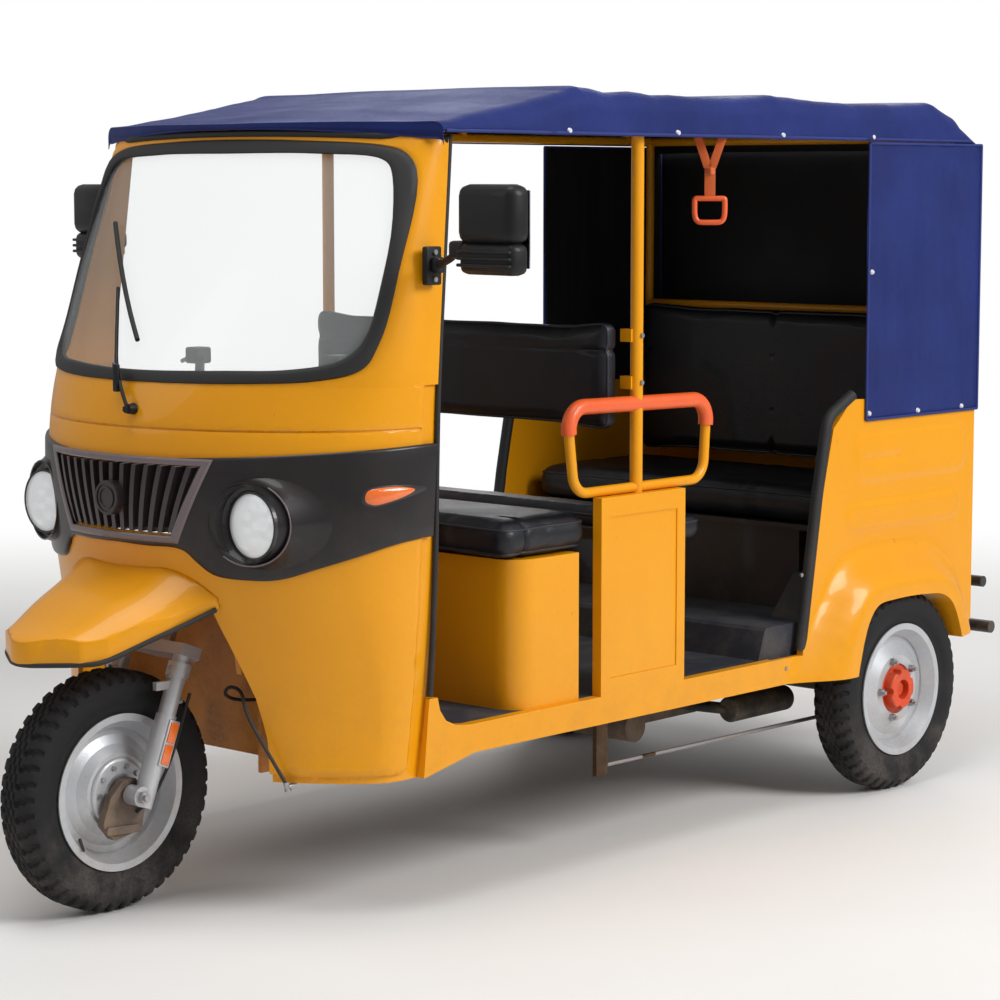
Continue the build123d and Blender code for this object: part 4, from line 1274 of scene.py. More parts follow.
# ------------------------------------------------------------------- cab skin
def smooth_line(points: Sequence[Pair], closed: bool = False, steps: int = 8) -> list[Vector]:
    """Run a smooth flat line through points, with no overshoot beside short runs.

    Args:
        points: Points that the line passes through.
        closed: Whether it joins up.
        steps: Steps between two points.

    Returns:
        Points along the line.
    """
    knots = [Vector(p) for p in points]
    count, line = len(knots), []
    for i in range(count if closed else count - 1):
        if closed:
            p = [knots[(i + k) % count] for k in (-1, 0, 1, 2)]
        else:
            p = [knots[max(i - 1, 0)], knots[i], knots[i + 1], knots[min(i + 2, count - 1)]]
        gap = [max((b - a).length, 1e-6) ** 0.5 for a, b in zip(p, p[1:])]
        leave = (p[2] - p[1]) / gap[1] - (p[2] - p[0]) / (gap[0] + gap[1]) + (p[1] - p[0]) / gap[0]
        reach = (p[3] - p[2]) / gap[2] - (p[3] - p[1]) / (gap[1] + gap[2]) + (p[2] - p[1]) / gap[1]
        for s in range(steps):
            t = s / steps
            line.append(
                p[1] * (2 * t**3 - 3 * t**2 + 1) + p[2] * (3 * t**2 - 2 * t**3)
                + leave * gap[1] * (t**3 - 2 * t**2 + t) + reach * gap[1] * (t**3 - t**2)
            )
    if not closed:
        line.append(knots[-1])
    return line


def mirrored(half: Sequence[Pair]) -> list[Pair]:
    """Close a right half outline that starts and ends on the middle line."""
    return list(half) + [(-x, z) for x, z in reversed(half[1:-1])]


def weave_grid(
    bm: Mesh, around: int, across: int, place: Callable[[int, int], Vector], loop: bool = True,
) -> None:
    """Bend a grid into a closed body, whose last rows meet the first ones.

    Args:
        bm: The mesh to add to.
        around: Steps along the first way.
        across: Steps along the second way.
        place: Gives the place of a step in both ways.
        loop: Whether the first way closes too, or ends in flat caps.
    """
    verts = bmesh.ops.create_grid(bm, x_segments=around, y_segments=across, size=1.0)["verts"]
    for v in verts:
        i, k = round((v.co.x + 1) / 2 * around), round((v.co.y + 1) / 2 * across)
        v.co = place(i % around if loop else i, k % across)
    bmesh.ops.remove_doubles(bm, verts=verts, dist=0.00002)
    if not loop:
        rim = [e for e in bm.edges if e.is_boundary]
        bmesh.ops.holes_fill(bm, edges=rim, sides=0)


@dataclass(frozen=True)
class CabSkin:
    """Outer surface of the cab's front: a nose arc, two corner arcs and straight sides."""

    # height, nose station, nose radius, half width, corner radius, station of the rear edge
    rows: tuple[tuple[float, ...], ...] = (
        (0.298, 0.098, 0.700, 0.530, 0.120, 0.430),
        (0.680, 0.066, 0.650, 0.541, 0.220, 0.466),
        (1.000, 0.033, 0.626, 0.545, 0.330, 0.473),
        (1.150, 0.068, 0.660, 0.545, 0.260, 0.478),
        (1.700, 0.395, 1.400, 0.525, 0.045, 0.537),
    )
    # lowest and highest height, and how far the smooth skin swells before the rows
    swells: tuple[tuple[float, float, float], ...] = ((0.68, 1.0, 0.0108), (1.0, 1.15, 0.0058))

    def _row(self, z: float) -> tuple[float, ...]:
        """Nose station, nose radius, half width, corner radius and rear edge at a height."""
        for a, b in zip(self.rows, self.rows[1:]):
            if z <= b[0]:
                break
        t = (z - a[0]) / (b[0] - a[0])
        nose, radius, half, corner, rear = (p + t * (q - p) for p, q in zip(a[1:], b[1:]))
        for low, high, depth in self.swells:
            if low < z < high:
                nose -= depth * math.sin(math.pi * (z - low) / (high - low))
        return nose, radius, half, corner, rear

    def _bend(self, z: float) -> tuple[float, ...]:
        """Corner centre, angle where the corner starts and run to its start and end."""
        nose, radius, half, corner, rear = self._row(z)
        cx = half - corner
        cy = nose + radius - math.sqrt((radius - corner) ** 2 - cx**2)
        start = math.asin(cx / (radius - corner))
        return cx, cy, start, radius * start, radius * start + corner * (math.pi / 2 - start)

    def reach(self, z: float) -> float:
        """Run along the skin from the middle line to the rear edge at a height."""
        _, cy, _, _, end = self._bend(z)
        return end + self._row(z)[4] - cy

    def run(self, x: float, z: float) -> float:
        """Run along the skin from the middle line to a place straight ahead of it."""
        _, radius, half, corner, _ = self._row(z)
        cx, _, start, first, _ = self._bend(z)
        side, width = math.copysign(1.0, x), min(abs(x), half - 0.0002)
        if width <= radius * math.sin(start):
            return side * radius * math.asin(width / radius)
        return side * (first + corner * (math.asin((width - cx) / corner) - start))

    def at(self, run: float, z: float, out: float = 0.0) -> Vector:
        """Place on the skin.

        Args:
            run: Run from the middle line.
            z: Height.
            out: How far it stands off the skin.

        Returns:
            The place in the shared frame.
        """
        nose, radius, half, corner, _ = self._row(z)
        cx, cy, start, first, end = self._bend(z)
        side, s = math.copysign(1.0, run), abs(run)
        if s <= first:
            turn = s / radius
            return at(
                side * (radius + out) * math.sin(turn), nose + radius - (radius + out) * math.cos(turn), z,
            )
        if s <= end:
            turn = start + (s - first) / corner
            return at(side * (cx + (corner + out) * math.sin(turn)), cy - (corner + out) * math.cos(turn), z)
        return at(side * (half + out), cy + s - end, z)

    def ahead(self, x: float, z: float, out: float = 0.0) -> Vector:
        """Place on the skin straight ahead of a width and a height."""
        return self.at(self.run(x, z), z, out)

    def band(
        self, first: Sequence[Vector], second: Sequence[Vector], section: Sequence[Pair], loop: bool = True,
    ) -> Mesh:
        """Bend a closed band between two flat lines onto the skin.

        Args:
            first: Inner line, point for point with the second.
            second: Outer line.
            section: Closed section: share of the way across and height off the skin.
            loop: Whether the lines close on themselves.

        Returns:
            The band.
        """
        def place(i: int, k: int) -> Vector:
            """Place of one step."""
            share, out = section[k]
            p = first[i].lerp(second[i], share)
            return self.at(p.x, p.y, out)

        bm = bmesh.new()
        weave_grid(bm, len(first) - (not loop), len(section), place, loop)
        return bm


@dataclass
class Screen:
    """Painted surround, rubber seal and laminated glass on the upper cab skin."""

    skin: CabSkin = field(default_factory=CabSkin)
    centre: Pair = (0.0, 1.42)
    foot: float = 1.1495
    crown: float = 1.690
    fall: float = 0.015
    wall: float = 0.018
    seal_out: float = 0.0065
    glass_in: float = -0.004
    glass_thick: float = 0.005
    outer: Pairs = (
        (0.0, 1.1535), (0.32, 1.157), (0.433, 1.165), (0.4933, 1.186), (0.5113, 1.2404), (0.5168, 1.3925),
        (0.5062, 1.6068), (0.4785, 1.6400), (0.4235, 1.6560), (0.221, 1.668), (0.0, 1.672),
    )
    inner: Pairs = (
        (0.0, 1.1765), (0.246, 1.1816), (0.3746, 1.1860), (0.4542, 1.2020), (0.4820, 1.2250),
        (0.4958, 1.2633),
        (0.5000, 1.3594), (0.4930, 1.4931), (0.4680, 1.5905), (0.4390, 1.6250), (0.2756, 1.6400),
        (0.0, 1.6420),
    )

    def _flat(self, outline: Sequence[Pair]) -> list[Vector]:
        """Lay an outline of widths and heights out flat along the skin."""
        return [
            Vector((self.skin.run(p.x, p.y), p.y))
            for p in smooth_line(mirrored(outline), closed=True, steps=6)
        ]

    def _toward(self, line: Sequence[Vector], target: Vector) -> Vector:
        """Where a closed line crosses the ray from the centre to a target."""
        middle = Vector(self.centre)
        way = (target - middle).normalized()
        best = target
        for a, b in zip(line, [*line[1:], line[0]]):
            hit = geometry.intersect_line_line_2d(middle, middle + way * 3.0, a, b)
            if hit:
                best = hit
        return best

    def _border(self, steps: int = 30) -> list[Vector]:
        """Outer boundary of the surround laid out flat."""
        low, skin = self.foot, self.skin

        def top(x: float) -> float:
            """Height of the top edge at a width."""
            return self.crown - self.fall * (x / 0.53) ** 2

        wide = [-1 + 2 * i / steps for i in range(steps)]
        foot = [Vector((w * skin.reach(low), low)) for w in wide]
        head = [Vector((-w * skin.reach(1.68), top(w * 0.53))) for w in wide]
        right, left = [], []
        for i in range(steps):
            z = low + (top(0.53) - low) * i / steps
            right.append(Vector((skin.reach(z), z)))
            z = top(0.53) + (low - top(0.53)) * i / steps
            left.append(Vector((-skin.reach(z), z)))
        return foot + right + head + left

    def build(self, bench: Bench) -> None:
        """Make the surround, the seal, the glass and a black strip under the hem that paints its shadow."""
        outer, inner = self._flat(self.outer), self._flat(self.inner)
        border = self._border()
        match = [self._toward(outer, p) for p in border]
        shares = [i / 10 for i in range(11)]
        section = [
            (0.0, -0.003), *((s, 0.0) for s in shares[1:]), (1.0, -self.wall),
            *((s, -self.wall) for s in reversed(shares[:-1])),
        ]
        bm = self.skin.band(match, border, section)
        bench.piece("cab_surround", bm, "body_paint", replaces=["windscreen_surround"])
        ring = [self._toward(inner, p) for p in outer]
        up = self.seal_out
        section = [
            (0.0, -0.012), (0.0, up * 0.3), (0.10, up * 0.85), (0.3, up), (0.7, up), (0.92, up * 0.7),
            (1.03, -0.001), (1.0, -0.012), (0.5, -0.012),
        ]
        bm = self.skin.band(ring, outer, section)
        bench.piece("screen_rubber", bm, "black_rubber", replaces=["windscreen_seal"])
        middle = Vector(self.centre)
        shares = [i / 12 for i in range(13)]
        section = [
            *((s, self.glass_in) for s in shares),
            *((s, self.glass_in - self.glass_thick) for s in reversed(shares)),
        ]
        edge = [p.lerp(q, 0.3) for p, q in zip(ring, outer)]
        bm = self.skin.band([middle] * len(edge), edge, section)
        bench.piece("screen_pane", bm, "screen_glass", replaces=["windscreen_glass"])
        # black tube along the top of the surround: painted shadow cast by the canopy's front hem
        path = [self.skin.at(p.x, p.y - 0.004, 0.001) for p in border[60:91:3]]
        bench.tube("hem_moulding", [path], 0.0085, "black_rubber")


@dataclass
class Fascia:
    """Charcoal band with its lamp pods, round lamps and corner indicators."""

    skin: CabSkin = field(default_factory=CabSkin)
    proud: float = 0.009
    top: Pairs = ((0.0, 0.995), (0.20, 0.998), (0.40, 1.009), (0.532, 1.021), (0.5445, 1.024))
    bottom: Pairs = (
        (0.0, 0.806), (0.084, 0.804), (0.183, 0.800), (0.212, 0.775), (0.246, 0.749), (0.318, 0.740),
        (0.373, 0.743), (0.433, 0.765), (0.507, 0.798), (0.5445, 0.824),
    )
    # opening for the bars: widths and heights of its corners
    mouth_plan: Pairs = ((-0.160, 0.828), (0.160, 0.828), (0.236, 0.984), (-0.236, 0.984))
    tail: float = 0.035
    lamp: tuple[float, float, float] = (0.345, 0.121, 0.860)
    lens_r: float = 0.070
    mouth: tuple[float, float, float] = (0.343, 0.1125, 0.864)
    mouth_turn: float = 20.0
    mouth_r: float = 0.0905
    mouth_wide: float = 1.10
    foot_r: Pair = (0.122, 0.110)
    leaf: Pairs = (
        (0.504, 0.921), (0.508, 0.934), (0.520, 0.9385), (0.5345, 0.9385), (0.5415, 0.932), (0.5385, 0.919),
        (0.529, 0.908), (0.515, 0.901), (0.506, 0.907),
    )

    def build(self, bench: Bench) -> None:
        """Make the band, the pods, the lamps, the indicators and the grille's border."""
        self._band(bench)
        self._pods(bench)
        self._lamps(bench)
        self._leaves(bench)
        self._grille(bench)

    def _edge(self, outline: Sequence[Pair], count: int) -> list[Vector]:
        """Sample an edge of the band evenly from the left rear to the right rear, laid out flat."""
        flat = [Vector((self.skin.run(p.x, p.y), p.y)) for p in smooth_line(outline, steps=6)]
        flat.append(flat[-1] + Vector((self.tail, 0.0)))
        line = [Vector((-p.x, p.y)) for p in reversed(flat[1:])] + flat
        last = flat[-1].x
        out = []
        for i in range(count + 1):
            s = -last + 2 * last * i / count
            k = next((k for k in range(len(line) - 1) if line[k + 1].x >= s - 1e-9), len(line) - 2)
            t = (s - line[k].x) / max(line[k + 1].x - line[k].x, 1e-9)
            out.append(line[k].lerp(line[k + 1], min(max(t, 0.0), 1.0)))
        return out

    def _band(self, bench: Bench) -> None:
        """Wrap the band round the nose and open it for the bars."""
        count = 150
        high, low = self._edge(self.top, count), self._edge(self.bottom, count)
        rise = self.proud
        section = [(0.0, -0.004), (0.0, rise - 0.004), (0.012, rise - 0.001), (0.03, rise)]
        section += [(0.03 + 0.94 * i / 8, rise) for i in range(1, 8)]
        section += [(0.97, rise), (0.988, rise - 0.001), (1.0, rise - 0.004), (1.0, -0.004)]

        bm = self.skin.band(low, high, section, loop=False)
        band = bench.piece("fascia", bm, "charcoal_trim", replaces=["fascia_band"])
        bench.cut(band, prism([at(x, -0.1, z) for x, z in self.mouth_plan], Vector((0, 0.3, 0))))
        tool = bmesh.new()
        for side in (-1, 1):
            middle = at(side * (self.lamp[0] + 0.004), self.lamp[1] + 0.01, self.lamp[2])
            disc(tool, middle, AHEAD, 0.084, 0.4, 48)
        bench.cut(band, tool)

    def _mouth(self, side: int) -> tuple[Vector, Vector, Vector]:
        """Middle of a pod's mouth, the way along it and the way that it faces."""
        turn = math.radians(self.mouth_turn) * side
        right = Vector((math.cos(turn), math.sin(turn), 0.0))
        return at(side * self.mouth[0], *self.mouth[1:]), right, Vector(
            (math.sin(turn), -math.cos(turn), 0.0)
        )

    def _pods(self, bench: Bench) -> None:
        """Swell the band into a pod with a dark scoop round each lamp."""
        steps = 64
        bm = bmesh.new()
        for side in (-1, 1):
            middle, right, facing = self._mouth(side)
            lens = at(side * self.lamp[0], *self.lamp[1:])
            rings = []
            for j in range(steps):
                a = math.tau * j / steps
                c, s = math.cos(a), math.sin(a)
                up = Vector((0.0, 0.0, 1.0))
                x = side * (self.mouth[0] + 0.012) + self.foot_r[0] * c
                z = self.mouth[2] + 0.004 + self.foot_r[1] * s
                foot = self.skin.ahead(x, z, self.proud - 0.003)
                wide = right * c * self.mouth_wide + up * s
                lip = middle + wide * self.mouth_r
                shoulder = foot.lerp(lip, 0.72) - facing * 0.008
                ring = [
                    foot, foot.lerp(shoulder, 0.35) - facing * 0.003,
                    foot.lerp(shoulder, 0.7) - facing * 0.002, shoulder,
                ]
                ring += [
                    lip - facing * 0.004, lip + facing * 0.0015,
                    middle + wide * (self.mouth_r - 0.0035) + facing * 0.0015,
                ]
                seat = lens + (Vector((1, 0, 0)) * c + up * s) * (self.lens_r + 0.001)
                throat = middle + wide * (self.mouth_r - 0.006) - facing * 0.006
                ring += [
                    throat, throat.lerp(seat, 0.5), seat + Vector((0, 0.001, 0)),
                    seat + Vector((0, 0.030, 0)),
                ]
                ring.append(foot + Vector((0, 0.012, 0)))
                rings.append(ring)
            weave_grid(bm, steps, len(rings[0]), lambda i, k: rings[i][k])
        bench.piece("lamp_pods", bm, "charcoal_trim", replaces=["headlamp_bowls"])
        # pale grey tube over part of each pod's mouth edge: a painted highlight on the rim
        arcs = []
        for side in (-1, 1):
            middle, right, facing = self._mouth(side)
            middle += facing * 0.0016
            right *= self.mouth_wide * side
            arc = []
            for i in range(29):
                a = math.radians(62 - 190 * i / 28)
                arc.append(
                    middle + (right * math.cos(a) + Vector((0, 0, math.sin(a)))) * (self.mouth_r - 0.001)
                )
            arcs.append(arc)
        bench.tube("pod_edges", arcs, 0.0018, "grille_frame")

    def _lamps(self, bench: Bench) -> None:
        """Make the lenses, reflectors, bulbs and seats of the lamps."""
        glass, chrome, core, ring = bmesh.new(), bmesh.new(), bmesh.new(), bmesh.new()
        r = self.lens_r
        for side in (-1, 1):
            c = at(side * self.lamp[0], *self.lamp[1:])
            dome = [
                (-0.014 * math.cos(math.pi / 2 * i / 10), r * math.sin(math.pi / 2 * i / 10))
                for i in range(11)
            ]
            dome[0] = (dome[0][0], 0.0002)
            back = [(p[0] + 0.004, p[1] * 0.97) for p in reversed(dome)]
            lathe(glass, dome + back, c, AFT, 56)
            bowl = [
                (0.006, r * 0.98), (0.020, r * 0.88), (0.030, r * 0.66), (0.036, r * 0.36), (0.038, r * 0.14),
            ]
            bowl += [(a + 0.003, b + 0.001) for a, b in reversed(bowl)]
            lathe(chrome, bowl, c, AFT, 48)
            disc(core, c + Vector((0, 0.020, 0)), AHEAD, 0.014, 0.026, 24, 0.009)
            for i in range(8):
                a = math.tau * (i + 0.5) / 8
                spot = c + Vector((0.040 * math.cos(a), 0.018, 0.040 * math.sin(a)))
                bmesh.ops.create_icosphere(
                    core, subdivisions=2, radius=0.0085, matrix=Matrix.Translation(spot),
                )
            bucket = [
                (0.004, r + 0.0035), (0.034, r + 0.001), (0.052, 0.045), (0.056, 0.0003), (0.053, 0.0003),
                (0.049, 0.044), (0.031, r - 0.002), (0.004, r),
            ]
            lathe(ring, bucket, c, AFT, 48)
            lathe(
                ring, [(-0.004, r - 0.002), (-0.004, r + 0.003), (0.004, r + 0.004), (0.004, r - 0.002)], c,
                AFT, 56,
            )
        bench.piece("lamp_lenses", glass, "lamp_glass", replaces=["headlamp_lenses"])
        bench.piece("lamp_reflectors", chrome, "bright_chrome")
        bench.piece("lamp_bulbs", core, "lamp_core")
        bench.piece("lamp_rings", ring, "lamp_bowl")

    def _leaves(self, bench: Bench) -> None:
        """Set an amber leaf in a dark seat at each corner."""
        amber, seat = bmesh.new(), bmesh.new()
        for side in (-1, 1):
            line = smooth_line([(side * x, z) for x, z in self.leaf], closed=True, steps=4)
            middle = sum(line, Vector((0.0, 0.0))) / len(line)
            for bm, grow, rise in ((amber, 1.0, 0.006), (seat, 1.16, 0.0015)):
                shares = [0.0, 0.4, 0.7, 0.88, 1.0]
                dome = [self.proud + rise * (1 - s**4) + 0.0005 for s in shares]
                section = [*zip(shares, dome), (1.0, self.proud - 0.004), (0.0, self.proud - 0.004)]

                def place(i: int, k: int) -> Vector:
                    """Place of one step."""
                    p = middle + (line[i] - middle) * section[k][0] * grow
                    return self.skin.ahead(p.x, p.y, section[k][1])

                weave_grid(bm, len(line), len(section), place)
        bench.piece("corner_indicators", amber, "amber_lens", replaces=["indicators"])
        bench.piece("indicator_seats", seat, "lamp_bowl")

    def _grille(self, bench: Bench) -> None:
        """Make the raised border round the bars and the rings of the boss."""
        inner = [(-0.160, 0.829), (0.160, 0.829), (0.236, 0.983), (-0.236, 0.983)]
        outer = [(-0.176, 0.814), (0.176, 0.814), (0.262, 0.9975), (-0.262, 0.9975)]

        def densify(corners: Sequence[Pair]) -> list[Vector]:
            """Split each side into short runs."""
            out = []
            for k in range(4):
                a, b = Vector(corners[k]), Vector(corners[(k + 1) % 4])
                out += [a.lerp(b, s / 14) for s in range(14)]
            return out

        first, second = densify(inner), densify(outer)
        up = self.proud
        section = [
            (0.0, -0.01), (0.0, up + 0.001), (0.2, up + 0.003), (0.75, up + 0.003), (1.0, up + 0.0005),
            (1.0, -0.01),
        ]

        def place(i: int, k: int) -> Vector:
            """Place of one step."""
            p = first[i].lerp(second[i], section[k][0])
            return self.skin.ahead(p.x, p.y, section[k][1])

        bm = bmesh.new()
        weave_grid(bm, len(first), len(section), place)
        bench.piece("grille_border", bm, "grille_frame", smooth=False)
        bm = bmesh.new()
        for r, w in ((0.036, 0.005), (0.024, 0.003)):
            lathe(
                bm, [(-0.003, r - w), (-0.003, r), (0.002, r + 0.001), (0.002, r - w - 0.001)],
                at(0, 0.013, 0.903), AFT, 48,
            )
        bench.piece("grille_boss_rings", bm, "grille_plastic")


# ---------------------------------------------------------------------- front
@dataclass
class Front:
    """Wiper and edge trims of the cab's front."""

    skin: CabSkin = field(default_factory=CabSkin)
    # widths and heights of the pivot and of three points along the arm
    arm: Pairs = ((0.0496, 1.0959), (0.0, 1.16), (-0.08, 1.26), (-0.155, 1.346))
    # widths and heights of the blade's ends
    blade: Pairs = ((-0.299, 1.487), (-0.006, 1.239))
    # half widths and stations round the beak, and stations and heights of its lower edge
    beak: Pairs = (
        (0.246, 0.104), (0.226, 0.046), (0.202, -0.010), (0.180, -0.062), (0.161, -0.112), (0.150, -0.142),
        (0.128, -0.164), (0.096, -0.186), (0.060, -0.208), (0.030, -0.226), (0.0, -0.232),
    )
    beak_edge: Pairs = (
        (-0.30, 0.562), (-0.24, 0.568), (-0.131, 0.576), (0.112, 0.676), (0.22, 0.720),
    )

    def build(self, bench: Bench) -> None:
        """Make every piece of the front."""
        self._wiper(bench)
        self._beak_trim(bench)
        self._door_seals(bench)

    def _wiper(self, bench: Bench) -> None:
        """Make the arm, its sprung knuckle and the rubber blade."""
        def on_glass(x: float, z: float, lift: float) -> Vector:
            """A point standing off the windscreen."""
            return self.skin.ahead(x, z) + Vector((0, -lift, 0))

        base = on_glass(*self.arm[0], 0.004)
        arm = [base + Vector((0, -0.014, 0))]
        arm += [on_glass(*p, lift) for p, lift in zip(self.arm[1:], (0.030, 0.022, 0.014))]
        bm = bmesh.new()
        disc(bm, base + Vector((0, -0.006, 0)), AHEAD, 0.013, 0.018, 24, 0.010)
        disc(bm, base + Vector((0, -0.018, 0)), AHEAD, 0.008, 0.010, 6)
        slab(bm, arm[1] + Vector((-0.008, -0.004, -0.03)), arm[1] + Vector((0.008, 0.006, 0.03)), 0.003)
        bench.piece("wiper_pivot", bm, "mirror_plastic", replaces=["wiper"])
        bench.tube("wiper_arm", [arm], 0.0042, "mirror_plastic")
        top, foot = (Vector(p) for p in self.blade)
        blade = [on_glass(*top.lerp(foot, s / 8), 0.010) for s in range(9)]
        bench.tube("wiper_blade", [blade], 0.0055, "black_rubber")

    def _beak_trim(self, bench: Bench) -> None:
        """Run the rubber edging round the lower edge of the beak."""
        path = []
        for x, y in [*self.beak, *((-x, y) for x, y in reversed(self.beak[:-1]))]:
            for (y0, z0), (y1, z1) in zip(self.beak_edge, self.beak_edge[1:]):
                if y <= y1:
                    break
            path.append(at(x, y, z0 + (z1 - z0) * (y - y0) / (y1 - y0) + 0.001))
        bench.tube("beak_edging", [path], 0.0055, "black_rubber")

    def _door_seals(self, bench: Bench) -> None:
        """Run rubber seals up the rear edges of the cab's front."""
        rear = ((0.452, 0.474), (0.4685, 0.68), (0.475, 1.0), (0.480, 1.15), (0.5095, 1.42), (0.538, 1.68))
        paths = []
        for side in (-1, 1):
            widths = [0.541 if z < 1.2 else 0.541 - (z - 1.15) * 0.036 for _, z in rear]
            paths.append([at(side * x, y + 0.002, z) for x, (y, z) in zip(widths, rear)])
        bench.tube("door_seals", paths, 0.0065, "black_rubber")


# ----------------------------------------------------------------- underparts
@dataclass
class Underparts:
    """Cable, reflectors and fixings of the fork and the rear."""

    cable: tuple[Point, ...] = (
        (0.112, 0.342, 0.430), (0.112, 0.288, 0.434), (0.124, 0.232, 0.456), (0.176, 0.200, 0.488),
        (0.240, 0.182, 0.488), (0.296, 0.140, 0.450), (0.342, 0.158, 0.372), (0.366, 0.190, 0.300),
    )

    hose: tuple[Point, ...] = (
        (0.108, 0.148, 0.470), (0.110, 0.118, 0.40), (0.112, 0.088, 0.33),
        (0.104, 0.050, 0.262), (0.084, 0.030, 0.232), (0.076, 0.018, 0.222),
    )

    def cord(self, bench: Bench) -> None:
        """Hang the sheathed cable from the wheel well to the foot of the cowl.

        Args:
            bench: Where pieces are made.
        """
        route = [at(*p) for p in self.cable]
        obj = curves("front_cable_sheath", [route], 12)
        data = obj.data
        data.bevel_depth, data.bevel_resolution, data.use_fill_caps = 0.004, 4, True
        data.materials.append(bench.paints["black_rubber"])
        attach(obj, "body")
        bm = bmesh.new()
        foot = route[-1]
        disc(bm, foot + Vector((0.0015, 0.0015, -0.006)), Vector((0.15, 0.15, -1)), 0.0065, 0.018, 16, 0.0052)
        disc(bm, foot + Vector((0.003, 0.003, -0.014)), Vector((0.15, 0.15, -1)), 0.0078, 0.005, 6)
        slab(bm, at(0.360, 0.190, 0.2905), at(0.376, 0.216, 0.2975), 0.001, 1)
        clip = bench.piece("cable_fitting", bm, "zinc_steel")
        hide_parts("front_cable")
        tuple(route[0])
        self._length(route)

    @staticmethod
    def _length(route: Sequence[Vector]) -> float:
        """Length of the smooth line along the cable's inside."""
        obj = curves("probe", [route], 24)
        mesh = bpy.data.meshes.new_from_object(obj)
        ends = [[mesh.vertices[i].co for i in e.vertices] for e in mesh.edges]
        bpy.data.objects.remove(obj)
        return sum((a - b).length for a, b in ends)

    def build(self, bench: Bench) -> None:
        """Make the fork and rear fittings."""
        self._fork(bench)
        self._rear(bench)

    def _fork(self, bench: Bench) -> None:
        """Make the reflectors, hose and axle nuts of the fork."""
        frame, amber, bolts = bmesh.new(), bmesh.new(), bmesh.new()
        for side in (-1, 1):
            mid = at(side * 0.1245, 0.0725, 0.371)
            turn = Matrix.Translation(mid) @ Matrix.Rotation(-RAKE, 4, "X")
            for bm, lo, hi, r in (
                (frame, (-0.004, -0.0155, -0.052), (0.002, 0.0155, 0.052), 0.003),
                (amber, (-0.001, -0.0115, 0.002), (0.0045, 0.0115, 0.047), 0.002),
                (amber, (-0.001, -0.0115, -0.047), (0.0045, 0.0115, -0.002), 0.002),
            ):
                inner, outer = sorted((side * lo[0], side * hi[0]))
                placed(bm, Vector((inner, *lo[1:])), Vector((outer, *hi[1:])), r, turn, 2)
            disc(bolts, at(side * 0.124, 0, AXLE_Z), Vector((side, 0, 0)), 0.014, 0.012, 6)
            disc(bolts, at(side * 0.132, 0, AXLE_Z), Vector((side, 0, 0)), 0.0085, 0.012, 16)
            for z in (0.514, 0.532):
                y = 0.053 + (z - 0.25) * math.tan(RAKE) - 0.062
                disc(bolts, at(side * 0.100, y, z), Vector((0, -1, 0.3)), 0.005, 0.008, 6)
        bench.piece("fork_reflector_frames", frame, "fork_silver", "steering")
        bench.piece("fork_reflectors", amber, "amber_lens", "steering")
        bench.piece("fork_bolts", bolts, "zinc_steel", "steering", smooth=False)
        hose = [at(*p) for p in self.hose]
        bench.tube("fork_hose", [hose], 0.0038, "black_rubber", "steering")

    def _rear(self, bench: Bench) -> None:
        """Make the blank plate, the tail-lamp rims and the tail fixings."""
        bm = bmesh.new()
        slab(bm, at(-0.10, 2.580, 0.545), at(0.10, 2.584, 0.645), 0.004)
        bench.piece("rear_plate", bm, "plate_white")
        bm = bmesh.new()
        slab(bm, at(-0.108, 2.5795, 0.537), at(0.108, 2.582, 0.653), 0.002)
        for side in (-1, 1):
            x = side * 0.475
            slab(bm, at(x - 0.041, 2.580, 0.613), at(x + 0.041, 2.588, 0.727), 0.004)
        bench.piece("rear_mounts", bm, "black_rubber")


